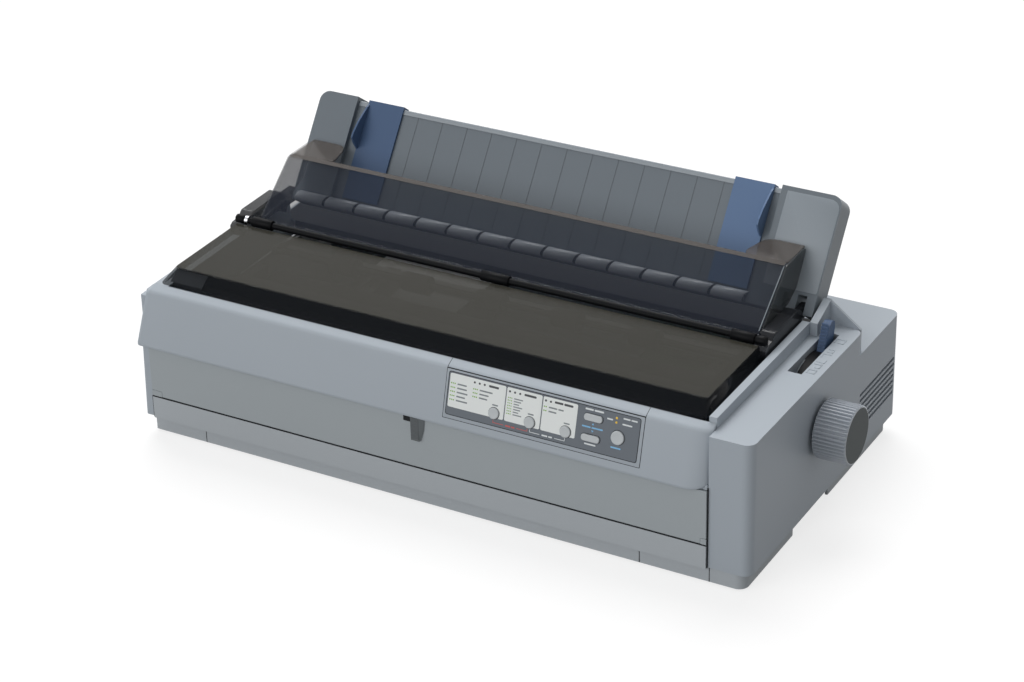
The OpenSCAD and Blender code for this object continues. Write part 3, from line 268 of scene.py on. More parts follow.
# name, colour, roughness, scale of the grain, its strength, unevenness of the tone
M = {
    "case": plastic("case_grey", srgb(165, 173, 181), 0.50, 1400, 0.10, 0.012, shine=0.3),
    "tray": plastic("tray_grey", srgb(170, 176, 181), 0.55, 900, 0.14, 0.012),
    "panel": plastic("panel_grey", srgb(158, 165, 169), 0.55, 900, 0.16, 0.012),
    "smoked": plastic("smoked", srgb(62, 61, 55), 0.12, 60, 0.0, 0.03, alpha=0.70, shine=0.12),
    "smoked_edge": plastic("smoked_edge", srgb(20, 23, 27), 0.12, 60, 0.0, 0.03, alpha=0.55, shine=0.07),
    "smoked_thick": plastic("smoked_thick", srgb(40, 42, 46), 0.12, 60, 0.0, 0.03, alpha=0.80, shine=0.2),
    "hood": plastic("smoked_hood", srgb(46, 51, 62), 0.10, 60, 0.0, 0.03, alpha=0.42, shine=0.1),
    "hood_clear": plastic("hood_clear", srgb(120, 122, 126), 0.10, 60, 0.0, 0.03, alpha=0.30),
    "hood_wall": plastic("hood_wall", srgb(50, 55, 58), 0.10, 60, 0.0, 0.03, alpha=0.60, shine=0.4),
    "hood_warm": plastic("hood_warm", srgb(86, 80, 76), 0.12, 60, 0.0, 0.03, alpha=0.60, shine=0.25),
    "guide": plastic("guide_grey", srgb(108, 116, 123), 0.36, 1200, 0.05, 0.02, shine=0.2),
    "guide_light": plastic("guide_light", srgb(134, 142, 149), 0.32, 1200, 0.04, 0.02),
    "guide_roll": plastic("guide_roll", srgb(176, 182, 190), 0.32, 1200, 0.04, 0.02),
    # a lighter copy of the guide's grey: painted light on the right ear, which catches more light than the rest
    "guide_ear_painted_light": plastic("guide_ear_painted_light", srgb(136, 144, 151), 0.34, 1200, 0.05, 0.02, shine=0.3),
    # darker than the guide's grey: painted shade in its grooves
    "groove": plastic("groove", srgb(84, 91, 97), 0.5, 900, 0.04, 0.03),
    "blue": plastic("blue_plastic", srgb(70, 91, 122), 0.42, 1300, 0.08, 0.02, shine=0.2),
    "blue_light": plastic("blue_light", srgb(93, 116, 149), 0.42, 1300, 0.08, 0.02, shine=0.2),
    "dark": plastic("dark_plastic", srgb(52, 54, 57), 0.45, 1100, 0.10, 0.04),
    "black": plastic("black_plastic", srgb(14, 15, 17), 0.4, 1100, 0.02, 0.05, shine=0.06),
    "shade": plastic("seam_shade", srgb(30, 32, 34), 0.7, 900, 0.05, 0.05, shine=0.15),
    "latch": plastic("catch_grey", srgb(108, 114, 117), 0.45, 1100, 0.10, 0.03),
    "ribbed": plastic("ribbed_grey", srgb(82, 87, 90), 0.5, 1100, 0.10, 0.03),
    "overlay": plastic("overlay_slate", srgb(84, 92, 101), 0.38, 1800, 0.03, 0.01),
    "label": plastic("label_white", srgb(226, 230, 229), 0.40, 1800, 0.02, 0.01),
    "green": plastic("mark_green", srgb(120, 168, 62), 0.45, 1800, 0.02, 0.02),
    "ink": plastic("mark_ink", srgb(44, 48, 52), 0.45, 1800, 0.02, 0.02),
    "ink_grey": plastic("mark_grey", srgb(116, 124, 128), 0.45, 1800, 0.02, 0.02),
    "ink_white": plastic("mark_white", srgb(214, 219, 221), 0.45, 1800, 0.02, 0.02),
    "ink_red": plastic("mark_red", srgb(186, 74, 72), 0.45, 1800, 0.02, 0.02),
    "ink_blue": plastic("mark_blue", srgb(120, 178, 218), 0.45, 1800, 0.02, 0.02),
    "lamp": plastic("lamp_yellow", srgb(226, 186, 60), 0.25, 300, 0.0, 0.03),
    "key": plastic("button_grey", srgb(184, 189, 192), 0.40, 1500, 0.05, 0.01),
    "knob_face": plastic("knob_face", srgb(69, 75, 76), 0.5, 1300, 0.08, 0.02, shine=0.1),
    "knob": plastic("knob_grey", srgb(164, 170, 178), 0.42, 1300, 0.08, 0.02),
    "rubber": plastic("rubber_black", srgb(24, 24, 25), 0.75, 700, 0.25, 0.06),
    "steel": plastic("bright_steel", srgb(190, 192, 196), 0.22, 400, 0.02, 0.02, metallic=1.0),
    "sheet": plastic("sheet_steel", srgb(150, 152, 154), 0.38, 260, 0.05, 0.05, metallic=1.0),
    "bronze": plastic("bronze", srgb(176, 140, 84), 0.40, 600, 0.08, 0.05, metallic=1.0),
    "acetal": plastic("white_acetal", srgb(206, 206, 198), 0.40, 900, 0.04, 0.01),
    "board": plastic("green_board", srgb(38, 96, 58), 0.35, 220, 0.05, 0.10),
    "motor": plastic("motor_black", srgb(50, 51, 54), 0.42, 500, 0.08, 0.03),
}

NODE_MATERIAL = {
    "case": ("upper_case", "cover_rail", "front_lip", "control_bezel"),
    "tray": ("base_tray",),
    "panel": ("front_cover",),
    "steel": ("case_screws", "carriage_shaft", "tractor_rail", "platen_shaft", "tractor_shaft", "drive_pulley",
              "idler_pulley"),
    "rubber": ("rubber_feet", "carriage_belt", "platen_roller", "tension_rollers"),
    "overlay": ("control_overlay",),
    "label": ("label_panels",),
    "lamp": ("indicator_leds",),
    "board": ("control_board", "main_board"),
    "sheet": ("left_side_frame", "right_side_frame", "guide_rail", "power_supply", "interface_ports"),
    "bronze": ("platen_bushings", "motor_pinion"),
    "dark": ("paper_pan", "ribbon_cartridge", "ribbon_knob", "left_tractor", "right_tractor", "carriage",
             "tension_bar", "front_latch"),
    "black": ("power_inlet", "power_switch", "hood_rod"),
    "motor": ("feed_motor", "carriage_motor", "print_head"),
    "knob": ("feed_knob",),
    "acetal": ("platen_gear", "idler_gear", "tractor_gear"),
    "blue": ("release_lever", "thickness_lever", "left_edge_guide"),
    "blue_light": ("right_edge_guide",),
    "smoked": ("printer_cover",),
    "hood": ("hood",),
    "guide": ("sheet_guide",),
    "key": ("button_font", "button_pitch", "button_tear_off", "button_load", "button_line_feed", "button_pause"),
}
for key, names in NODE_MATERIAL.items():
    for name in names:
        mesh = nodes[name].data
        mesh.materials.clear()
        mesh.materials.append(M[key])

# ---------------------------------------------------------------- rounded edges of CAD nodes

soften("upper_case", 1.3, 3, 30)
soften("cover_rail", 1.3, 3, 30)
soften("base_tray", 0.9, 2, 40)
soften("release_lever", 1.0, 3, 40)
soften("left_edge_guide", 0.5, 2, 40)
soften("right_edge_guide", 0.5, 2, 40)
soften("sheet_guide", 1.1, 3, 40)
soften("power_switch", 0.5, 2, 40)

# ---------------------------------------------------------------- front lip

LIP_X0, LIP_X1 = -319.5, 246.6
LIP_FOOT_U, LIP_FOOT_Z = -5, 90
LIP_TOP_U, LIP_TOP_Z = 17.5, 142.5
LIP_EDGE = [(-1.2, LIP_FOOT_Z), (-1.2, 87.7), (LIP_FOOT_U, 87.7), (LIP_FOOT_U, LIP_FOOT_Z), (8.5, 138.5),
            (LIP_TOP_U, LIP_TOP_Z)]
lip_profile = fillet(LIP_EDGE, [0, 0, 0.8, 1.2, 6, 0], 5, closed=False)
LIP_UPPER = 16                                       # index in the profile: half way round its upper corner
LIP_INSIDE = [(17.6, 140.1), (10.7, 136.9), (-2.4, 90.2)]
LIP_BACK = [(17.4, LIP_FOOT_Z)]                      # in place of the inside: a solid end
LIP_ROUND_X, LIP_ROUND_U, LIP_ROUND_Z = 20, 12, 4.5  # the rounded right end
LIP_RISE_H = 16
LIP_LEFT_ROUND = 4
LIP_TAPER = 6.5                                      # the left end leans in with the tower
LIP_DROP, LIP_DROP_Z = 2.8, 134


def lip_ring(x, back, lean, rise=0.0, inside=LIP_INSIDE, drop=0.0):
    """The lip's section at x: foot pulled back and up, top leaning in and pulled down."""
    height, depth, top = LIP_TOP_Z - LIP_FOOT_Z, LIP_TOP_U - LIP_FOOT_U, LIP_TOP_Z - LIP_DROP_Z
    return [plain(x + lean * max(0, z - LIP_FOOT_Z) / height,
                  u + back * (LIP_TOP_U - u) / depth,
                  z + rise * max(0, 1 - (z - LIP_FOOT_Z) / LIP_RISE_H) - drop * max(0, z - LIP_DROP_Z) / top)
            for u, z in lip_profile + inside]


def quarter(step):
    return [math.radians(a) for a in range(0, 91, step)]


rings = [lip_ring(LIP_X0 + LIP_LEFT_ROUND * (1 - math.cos(a)), LIP_LEFT_ROUND * (1 - math.sin(a)), LIP_TAPER,
                  drop=LIP_DROP * math.cos(a)) for a in quarter(15)]
rings.append(lip_ring(LIP_X0 + 40, 0, 0))
rings += [lip_ring(LIP_X1 - LIP_ROUND_X * (1 - math.sin(a)), LIP_ROUND_U * (1 - math.cos(a)), 0,
                   LIP_ROUND_Z * (1 - math.cos(a))) for a in quarter(9)]
lip = Shape()
lip.loft(rings)
lip.loft([lip_ring(LIP_X0 + dx, LIP_LEFT_ROUND + 0.1, LIP_TAPER, 0, LIP_BACK, LIP_DROP) for dx in (0.03, 0.6)])
lip.loft([lip_ring(LIP_X1 - dx, LIP_ROUND_U + 0.1, 0, LIP_ROUND_Z, LIP_BACK) for dx in (0.6, 0.03)])
lip.piece("lip_skin", "case", "housing", "case_grey", ["front_lip"], bevel=0.7, angle=40)


def left_corner(x0, x1, u0, u1, r, steps):
    """A block in plan with its front left corner rounded."""
    return fillet([(x0, u0), (x1, u0), (x1, u1), (x0, u1)], [r, 0, 0, 0], steps)


corner = Shape()
behind_lip = left_corner(-319.4, -310, 7.8, 18, 1.6, 6)
corner.stack(((behind_lip, 90.5), (behind_lip, 133.4)))
under_lip = left_corner(-319.4, -310.9, 1.0, 14, 1.6, 6)
corner.stack(((under_lip, 13.2), ([(x + 2.2, u) for x, u in under_lip], 87.6)))
corner.block(LIP_X0 + 7, LIP_X1 - 21, -1.1, 12, 90, 92)
corner.block(LIP_X1 - 23, LIP_X1, 1.8, 12, 87.3, 92)
corner.piece("tower_corner", "case", "housing", "case_grey", bevel=1.2, segments=3, angle=40)


def lip_strip(shape, x0, x1, out):
    """A thin strip that follows the lip's upper corner and top, standing out of them by `out` mm."""
    points = lip_profile[LIP_UPPER:]
    outer, inner = [], []
    for i, p in enumerate(points):
        a = Vector(points[max(0, i - 1)])
        b = Vector(points[min(len(points) - 1, i + 1)])
        d = (b - a).normalized()
        n = Vector((-d.y, d.x))
        outer.append((p[0] + n.x * out, p[1] + n.y * out))
        inner.append((p[0] - n.x * 0.3, p[1] - n.y * 0.3))
    shape.across(outer + inner[::-1], x0, x1)


# Control panel insert: its seam, plate, overlay, labels and their printed marks
INSERT_X0, INSERT_X1, INSERT_T0, INSERT_T1 = 0.0, 187.0, 6.0, 49.2
SEAM = 0.5
seams = Shape()
seams.plate(round_rect(INSERT_X0 - SEAM, INSERT_X1 + SEAM, INSERT_T0 - SEAM, 50.0, 0.8), on_lip, -0.5, 0.05)
for x in (INSERT_X0 - SEAM, INSERT_X1):
    lip_strip(seams, x, x + SEAM, 0.06)
seams.piece("insert_seam", "shade", "housing", "case_grey")
insert = Shape()
insert.plate(round_rect(INSERT_X0, INSERT_X1, INSERT_T0, INSERT_T1, 0.8), on_lip, -0.4, 0.28, inset=0.25)
insert.piece("insert_plate", "case", "housing", "case_grey", ["control_bezel"])
rim = Shape()
rim.plate(round_rect(1.9, 184.1, 9.0, 47.6, 2.4), on_lip, 0, 0.32)
rim.piece("overlay_rim", "shade", "housing", "overlay_slate")
sheet = Shape()
sheet.plate(round_rect(2.5, 183.5, 9.6, 47.0, 2.0), on_lip, 0, 0.40)
sheet.piece("overlay_sheet", "overlay", "housing", "overlay_slate", ["control_overlay"])
labels = Shape()
for x0, x1 in ((3.6, 57.6), (58.6, 92.2), (93.2, 125.6)):
    labels.plate(round_rect(x0, x1, 16.4, 46.0, 1.6), on_lip, 0.3, 0.46)
labels.piece("label_sheets", "label", "housing", "label_white", ["label_panels"])

marks = {ink: Shape() for ink in ("green", "ink", "ink_grey", "ink_white", "ink_red", "ink_blue")}
ON_LABELS = ("green", "ink", "ink_grey")
PRINT_FOOT, PRINT_TOP = 0.35, 0.5
WORD_GAP = 0.9


def printed(ink, outline):
    marks[ink].plate(outline, on_lip, PRINT_FOOT, PRINT_TOP)


def bar(ink, x0, x1, t, h):
    printed(ink, round_rect(x0, x1, t - h / 2, t + h / 2, h * 0.35, 2))


def dots(ink, places, t, r=0.65):
    for x in places:
        printed(ink, disc(x, t, r, 12))


def words(ink, x0, lengths, t, h):
    """A line of plain bars in the place of printed words."""
    for length in lengths:
        bar(ink, x0, x0 + length, t, h)
        x0 += length + WORD_GAP


dots("ink", (27.4, 32.2, 37.0, 61.3, 66.2, 71.1, 95.6, 100.3), 42.6, 1.0)
words("ink", 41.2, (9.5,), 42.6, 1.9)
words("ink", 75.2, (11.5,), 42.8, 1.9)
words("ink", 104.0, (8.0, 8.5), 43.0, 1.9)
for t, length in ((37.4, 9.0), (33.8, 9.5), (30.2, 10.5), (26.6, 8.5), (23.0, 11.0)):
    dots("green", (5.4, 7.1, 8.8), t)
    words("ink_grey", 11.2, (length,), t, 1.3)
for t, length in ((36.9, 12.5), (33.5, 9.0), (30.2, 8.0)):
    dots("green", (27.0, 28.7, 30.4), t)
    words("ink_grey", 32.8, (length,), t, 1.3)
for row in range(7):
    t = 37.2 - 2.32 * row
    dots("green", (60.6, 62.2, 63.8), t, 0.55)
    words("ink_grey", 66.0, (8.5 - (row % 3) * 1.6,), t, 1.0)
for t, lengths in ((37.5, (8.0, 5.0)), (34.0, (7.5,))):
    dots("green", (94.8, 96.5), t)
    words("ink_grey", 99.0, lengths, t, 1.3)
for x in (46.0, 80.2, 114.2):
    words("ink_grey", x, (5.6,), 27.4, 1.2)
words("ink_white", 132.6, (7.6, 8.6), 44.6, 1.5)
words("ink_white", 153.2, (5.4,), 40.7, 1.3)
words("ink_white", 167.9, (6.4, 5.6), 43.9, 1.3)
words("ink_white", 167.5, (9.0,), 38.9, 1.3)
words("ink_blue", 131.2, (8.0, 10.4), 29.5, 1.3)
words("ink_white", 135.0, (10.6,), 14.9, 1.3)
words("ink_blue", 159.2, (9.2,), 17.5, 1.3)
for foot, tip in ((31.9, 33.6), (27.2, 25.5)):
    printed("ink_blue", [(140.0, foot), (142.2, foot), (141.1, tip)])
for ink, x0, x1, word in (("ink_red", 48.4, 81.2, 9.0), ("ink_white", 83.6, 116.7, 10.0)):
    middle = (x0 + x1) / 2
    bar(ink, x0, middle - word * 0.7, 12.3, 0.5)
    bar(ink, middle + word * 0.7, x1, 12.3, 0.5)
    for x in (x0, x1):
        printed(ink, round_rect(x - 0.25, x + 0.25, 12.1, 14.6, 0.1, 1))
    words(ink, middle - word / 2, (word * 0.55, word * 0.35), 12.3, 1.3)
for ink, shape in marks.items():
    shape.piece("print_" + ink, ink, "housing", "label_white" if ink in ON_LABELS else "overlay_slate")

lamps = Shape()
for t in (42.9, 39.1):
    lamps.plate(disc(161.9, t, 1.05, 16), on_lip, 0.2, 0.75, inset=0.3)
lamps.piece("panel_lamps", "lamp", "housing", "led_yellow", ["indicator_leds"])

# Keys: a raised cap with a soft shoulder and a slightly hollow top, in a dark well.
# A cap stays short behind the face, so that it clears the lip when it is pressed.
KEY_FOOT = -0.5
WELL_GAP = 0.45
ROUND_KEYS = (("button_font", "key_font", 48.5, 20.3, 5.0), ("button_pitch", "key_pitch", 82.7, 20.3, 5.0),
              ("button_tear_off", "key_tear_off", 116.7, 20.3, 5.0), ("button_pause", "key_pause", 164.8, 26.6, 6.0))
PILL_KEYS = (("button_load", "key_load", 141.0, 38.0), ("button_line_feed", "key_line_feed", 140.3, 20.3))
PILL_HALF_X, PILL_HALF_T = 8.5, 3
wells = Shape()


def key_cap(node, body, outlines):
    """A cap of (outline, height out of the face) sections."""
    cap = Shape()
    cap.loft([[on_lip(x, out, t) for x, t in outline] for outline, out in outlines])
    cap.piece(node + "_cap", "key", body, "button_grey", [node], angle=60)


for node, body, x, t, r in ROUND_KEYS:
    wells.plate(disc(x, t, r + WELL_GAP, 40), on_lip, 0.3, 0.54)
    key_cap(node, body, [(disc(x, t, radius, 40), out) for out, radius in
                         ((KEY_FOOT, r), (1.35, r), (1.72, r - 0.12), (1.93, r - 0.45), (2.0, r - 0.95),
                          (1.92, r - 1.6), (1.86, r * 0.4), (1.84, 0.4))])
for node, body, x, t in PILL_KEYS:
    wells.plate(round_rect(x - 8.95, x + 8.95, t - 3.45, t + 3.45, 3.4, 8), on_lip, 0.3, 0.54)
    key_cap(node, body, [(round_rect(x - PILL_HALF_X + s, x + PILL_HALF_X - s, t - PILL_HALF_T + s,
                                     t + PILL_HALF_T - s, 2.95 - s, 8), out) for out, s in
                         ((KEY_FOOT, 0), (1.35, 0), (1.72, 0.12), (1.93, 0.4), (2.0, 0.9), (1.93, 1.5))])
wells.piece("key_wells", "shade", "housing", "overlay_slate")

# ---------------------------------------------------------------- front panel, latch and seams

PANEL_X0, PANEL_X1 = -310.1, 246.6
PANEL_TOP, PANEL_FOOT = 87.2, 36.0
LUG_LEFT, LUG_RIGHT, LUG_TOP = -299.4, 241.4, 41.5   # the panel is cut out round its hinge lugs
PANEL = [(PANEL_X0, LUG_TOP), (LUG_LEFT, LUG_TOP), (LUG_LEFT, PANEL_FOOT), (LUG_RIGHT, PANEL_FOOT),
         (LUG_RIGHT, LUG_TOP), (PANEL_X1, LUG_TOP), (PANEL_X1, PANEL_TOP), (PANEL_X0, PANEL_TOP)]
door = Shape()
door.along(PANEL, 0, 2.5)
door.piece("front_panel", "panel", "front_door", "panel_grey", ["front_cover"], bevel=0.5, angle=40)
lugs = Shape()
for x0, x1 in ((PANEL_X0, LUG_LEFT - 0.15), (LUG_RIGHT + 0.15, PANEL_X1)):
    lugs.block(x0, x1, 0.08, 0.8, 35.9, 41.38)
lugs.piece("lug_faces", "panel", "housing", "panel_grey")
LATCH_TOP, LATCH_FOOT = PANEL_TOP, 63.6
latch = Shape()
latch.stack((([(-33.1, -0.3), (-33.1, -2.7), (-25.1, -2.7), (-24.9, -0.3)], LATCH_FOOT),
             ([(-32.6, -0.3), (-32.6, -3.6), (-24.5, -3.6), (-21.0, -0.3)], 74.5),
             ([(-32.1, -0.3), (-32.1, -4.5), (-23.9, -4.5), (-19.8, -0.3)], LATCH_TOP)))
latch.piece("latch_body", "latch", "door_latch", "dark_plastic", ["front_latch"], bevel=0.3)


def on_latch(s, out, z):
    """The ribbed face of the catch: s from 0 to 1 across it."""
    k = (z - LATCH_FOOT) / (LATCH_TOP - LATCH_FOOT)
    return plain(-33.2 + 1.1 * k + s * 8.2, -2.7 - 1.8 * k - out, z)


grip = Shape()
grip.loft([[on_latch(s, out, z) for s, out in ((0, 0.1), (1, 0.1), (1, -0.2), (0, -0.2))] for z in (63.7, 87.1)])
for k in range(12):
    z = 65.2 + k * 1.75
    grip.loft([[on_latch(s, out, z + dz + s) for s, out in ((0.04, 0.36), (0.96, 0.36), (0.96, 0), (0.04, 0))]
               for dz in (0, 0.85)])
grip.piece("latch_ribs", "ribbed", "door_latch", "dark_plastic")
gap = Shape()
gap.block(-41.8, -22.0, -0.12, 0.4, 79.8, 87.0)
gap.piece("latch_gap", "shade", "front_door", "dark_plastic")
joint = Shape()
joint.block(PANEL_X0, PANEL_X1, 0.3, 2.6, 34.2, 34.75)         # under the panel
joint.block(PANEL_X0, PANEL_X1, 0.12, 0.45, 34.5, PANEL_FOOT)
joint.block(-310.95, -310.05, 0.5, 3.1, 13.0, 34.6)            # beside it, to the left
joint.block(-310.45, PANEL_X0, 1.2, 3.1, PANEL_FOOT, 89.0)
joint.block(PANEL_X1, 247.35, 1.6, 3.1, 12.7, 89.6)            # and to the right
joint.piece("front_seams", "shade", "housing", "panel_grey")
skirt_seams = Shape()
for x in (-258, 182, 247):
    skirt_seams.block(x, x + 0.7, 5.88, 6.2, -2.9, 12.4)
skirt_seams.piece("skirt_seams", "shade", "housing", "panel_grey")
skirt_corner = Shape()
outline = left_corner(-313.45, -300, 6.05, 16, 1.5, 4)
skirt_corner.stack(((outline, -2.95), (outline, 12.8)))
skirt_corner.piece("skirt_corner", "tray", "housing", "panel_grey")

# ---------------------------------------------------------------- smoked cover

COVER_X0, COVER_X1 = -303.5, 238.5
COVER_FRONT, COVER_BACK = 18.0, 131.5
SLOPE_X, SLOPE_U = 7, 15              # how far the lid's sloping edges reach inwards
TOP_X0, TOP_X1, TOP_FRONT = COVER_X0 + SLOPE_X, COVER_X1 - SLOPE_X, COVER_FRONT + SLOPE_U
low_ring = fillet([(COVER_X0, COVER_BACK), (COVER_X0, COVER_FRONT), (COVER_X1, COVER_FRONT), (COVER_X1, COVER_BACK)],
                  [0, 5, 5, 0], 4, closed=False)
high_ring = fillet([(TOP_X0, COVER_BACK), (TOP_X0, TOP_FRONT), (TOP_X1, TOP_FRONT), (TOP_X1, COVER_BACK)],
                   [0, 3, 3, 0], 4, closed=False)
edge_ring = [tuple(Vector(a).lerp(Vector(b), 0.93)) for a, b in zip(low_ring, high_ring)]
cover = Shape()
cover.stack(((low_ring, 142.9), (low_ring, 144.2), (edge_ring, 154.3), (high_ring, 155.0)), cap=False,
            ring_closed=False)
cover.piece("cover_skin", "smoked_edge", "cover", "smoked", ["printer_cover"], skin=2.2, angle=25)
lid = Shape()
lid.stack(((high_ring, 152.9), (high_ring, 154.98)))
lid.piece("cover_top", "smoked", "cover", "smoked")

ARM = [(129.5, 143.2), (129.5, 152.2), (133.5, 154.6), (143.5, 155.2), (149, 160.5), (196, 160.5), (205, 156),
       (206, 140), (204, 135), (196, 143.2)]
ARM_END = [(206.2, 141.5), (206.2, 153.3), (225.4, 153.3), (231.3, 147.4), (225.4, 141.5)]
arms = Shape()
for x0, x1 in ((COVER_X0, COVER_X0 + 12.5), (COVER_X1 - 12.5, COVER_X1)):
    arms.across(fillet(ARM, [1, 1, 1, 2, 4, 5, 3, 3, 3, 2], 3), x0, x1)
for x0, x1 in ((-300.5, -291.0), (229.0, 235.0)):
    arms.across(fillet(ARM_END, [0, 0, 3, 5, 3], 4), x0, x1)
for x0, x1 in ((239, 253), (-309, -304)):
    arms.lathe([(x0, 1.5), (x0, 3), (x1, 3), (x1, 1.5)], COVER_PIVOT, 24)
arms.piece("cover_arms", "smoked_thick", "cover", "smoked", bevel=0.6, angle=40)
bosses = Shape()
for x0, x1 in ((COVER_X0 + 3, COVER_X0 + 12.1), (COVER_X1 - 12.1, COVER_X1 - 3)):
    bosses.collar(x0, x1, 3.6, 4.0)
bosses.piece("arm_bosses", "black", "cover", "smoked", angle=50)

# Dark bands under the front and right slopes, and the light end at the left
bands = Shape()
bands.across([(21.2, 144.0), (33.6, 152.4), (44, 152.6), (44, 152.2), (34.0, 151.9), (22.0, 143.6)],
             -262, COVER_X1 - 3.4)
bands.along([(COVER_X1 - 2.6, 143.4), (COVER_X1 - 8.6, 152.3), (COVER_X1 - 19, 152.3), (COVER_X1 - 19, 151.8),
             (COVER_X1 - 10.2, 143.4)], 36, 129.3)
bands.piece("cover_bands", "black", "cover", "smoked", bevel=0.2)
light_end = Shape()
light_end.across([(23, 144.6), (34.2, 152.2), (34.6, 151.8), (23.8, 144.2)], -296, -262.4)
light_end.piece("cover_light_end", "guide_roll", "cover", "smoked")

# ---------------------------------------------------------------- hood

HOOD_X0, HOOD_X1 = -283.0, 225.4
HOOD_WALL = 2.2
HOOD_TOP = 198.0
FACE_OUTSIDE = [(141.5, 156.2), (148, 156.2), (201.2, HOOD_TOP), (207, HOOD_TOP)]
FACE_INSIDE = [(141.5, 154.2), (149, 154.2), (202, 195.8), (207, 195.8)]
hood_face = Shape()
hood_face.across(fillet(FACE_OUTSIDE, [0, 4, 5, 0], 5, closed=False)
                 + fillet(FACE_INSIDE, [0, 3, 3, 0], 5, closed=False)[::-1], HOOD_X0 + 1, HOOD_X1 - 1)
hood_face.piece("hood_face", "hood", "hood_body", "smoked", ["hood"], bevel=0.5, angle=50)
SIDE = [(147.6, 154.4), (201.0, 197.9), (243, 197.9), (222, 167), (205, 159)]
for tag, mat, x0, x1 in (("left", "hood_clear", HOOD_X0, HOOD_X0 + HOOD_WALL),
                         ("right", "hood_wall", HOOD_X1 - HOOD_WALL, HOOD_X1)):
    side = Shape()
    side.across(fillet(SIDE, [2, 5, 4, 6, 6], 5), x0, x1)
    side.piece("hood_side_" + tag, mat, "hood_body", "smoked", bevel=0.8, segments=3, angle=40)
ears = Shape()
for outer, inner, tip in ((HOOD_X0 + HOOD_WALL, HOOD_X0 + 46, HOOD_X0 + 38),
                          (HOOD_X1 - HOOD_WALL, HOOD_X1 - 46, HOOD_X1 - 38)):
    outline = fillet([(outer, 207.2), (outer, 243), (tip, 243), (inner, 207.2)], [0, 1, 14, 8], 6)
    ears.stack(((outline, 195.8), (outline, HOOD_TOP)))
ears.piece("hood_ears", "hood_warm", "hood_body", "smoked", bevel=0.5, angle=50)
flange = Shape()
flange.block(HOOD_X0 + 3, HOOD_X1 - 3, 199.5, 207.0, 198.02, 198.22)
flange.piece("hood_flange", "hood_warm", "hood_body", "smoked")
# A thin light strip along the front edge of the hood's right wall: a painted highlight on that edge
edge_line = Shape()
edge_line.stack([([(HOOD_X1 - 3.0, u - 0.3), (HOOD_X1 - 2.3, u - 0.3), (HOOD_X1 - 2.3, u + 0.3),
                   (HOOD_X1 - 3.0, u + 0.3)], z) for u, z in ((150.5, 158.4), (199.8, 197.1))])
edge_line.piece("hood_edge_highlight", "guide_light", "hood_body", "smoked")
knuckles = Shape()
for x0, x1 in ((HOOD_X0, HOOD_X0 + 22), (-40, -12), (HOOD_X1 - 22, HOOD_X1)):
    knuckles.collar(x0, x1, 4.4, 4.8)
knuckles.piece("hood_knuckles", "black", "hood_body", "smoked", angle=50)
studs = Shape()
for x in (COVER_X0 + 13.2, COVER_X1 - 16.4):
    studs.lathe([(x, 3.05), (x, 4.2), (x + 3.2, 4.2), (x + 3.2, 3.05)], ROD, 24)
studs.piece("rod_studs", "steel", "cover", "steel", angle=50)

# ---------------------------------------------------------------- sheet guide

GUIDE_X0, GUIDE_X1 = -289.0, 245.0
GROOVE_PITCH, GROOVE_W = 26.2, 0.55
# The guide's grooves are thin strips darker than the guide: painted shade in the grooves
grooves = Shape()
x = GUIDE_X0 + 53
while x < GUIDE_X1 - 62:
    grooves.block(x, x + GROOVE_W, 4.72, 5.6, 10, 104.8, on_guide)
    x += GROOVE_PITCH
grooves.piece("guide_grooves", "groove", "guide_body", "guide_grey")
top_roll = Shape()
top_roll.across(fillet([(4.4, 100.5), (4.4, 105.2), (7.2, 105.4), (7.2, 100.5)], [0.4, 1.3, 1.3, 0.4], 4),
                GUIDE_X0 + 40.6, GUIDE_X1 - 58.6, on_guide)
top_roll.piece("guide_top_roll", "guide_light", "guide_body", "guide_grey")

# The bar at the guide's foot: short rolls with dark gaps between them
BAR_X0, BAR_X1, BAR_N = -283.5, 180.5, 14
BAR_GAP = 2.8
BAR_R = 5.2
BAR_DEEP, BAR_T = 0.5, 4.7
BAR_SLANT = 2.0
bar_step = (BAR_X1 - BAR_X0 + BAR_GAP) / BAR_N
foot_rolls = Shape()
bar_gaps = Shape()


def bar_ring(x, r):
    """A slightly slanted ring about the guide's foot bar."""
    return [on_guide(x + BAR_SLANT * math.sin(a), BAR_DEEP + r * math.cos(a), BAR_T + r * math.sin(a))
            for a in around(20)]


for k in range(BAR_N):
    x0 = BAR_X0 + k * bar_step
    x1 = x0 + bar_step - BAR_GAP
    foot_rolls.loft([bar_ring(x, r) for x, r in ((x0, 4.7), (x0 + 0.5, BAR_R), (x1 - 0.5, BAR_R), (x1, 4.7))])
    if k < BAR_N - 1:
        bar_gaps.loft([bar_ring(x, 4.75) for x in (x1 + 0.1, x0 + bar_step - 0.1)])
bar_gaps.piece("guide_bar_gaps", "shade", "guide_body", "guide_grey", angle=50)
foot_rolls.piece("guide_foot_roll", "guide_roll", "guide_body", "guide_grey", angle=50)

# A lighter skin on the guide's right ear: painted light, for the extra light that falls on that ear
ear = Shape()
ear.plate(fillet([(GUIDE_X1 - 52, 20), (GUIDE_X1 - 1.2, 20), (GUIDE_X1 - 1.2, 103.9), (GUIDE_X1 - 52, 103.9)],
                 [1, 2, 11, 1], 6), lambda x, out, t: on_guide(x, -out, t), -0.3, 0.25, inset=0.2)
ear.piece("guide_right_face_painted_light", "guide_ear_painted_light", "guide_body", "guide_grey")
# Dark sheets on the deck, one flat and one upright: painted shade where the deck lies in shadow under the hood and
# guide
shade_sheet = Shape()
shade_sheet.block(-317, 243, 231.3, 266, 113.8, 114.35)
shade_sheet.block(-300, 243, 230.7, 231.4, 101, 114.35)
shade_sheet.piece("deck_shade_sheet", "shade", "housing", "case_grey")

# ---------------------------------------------------------------- knob

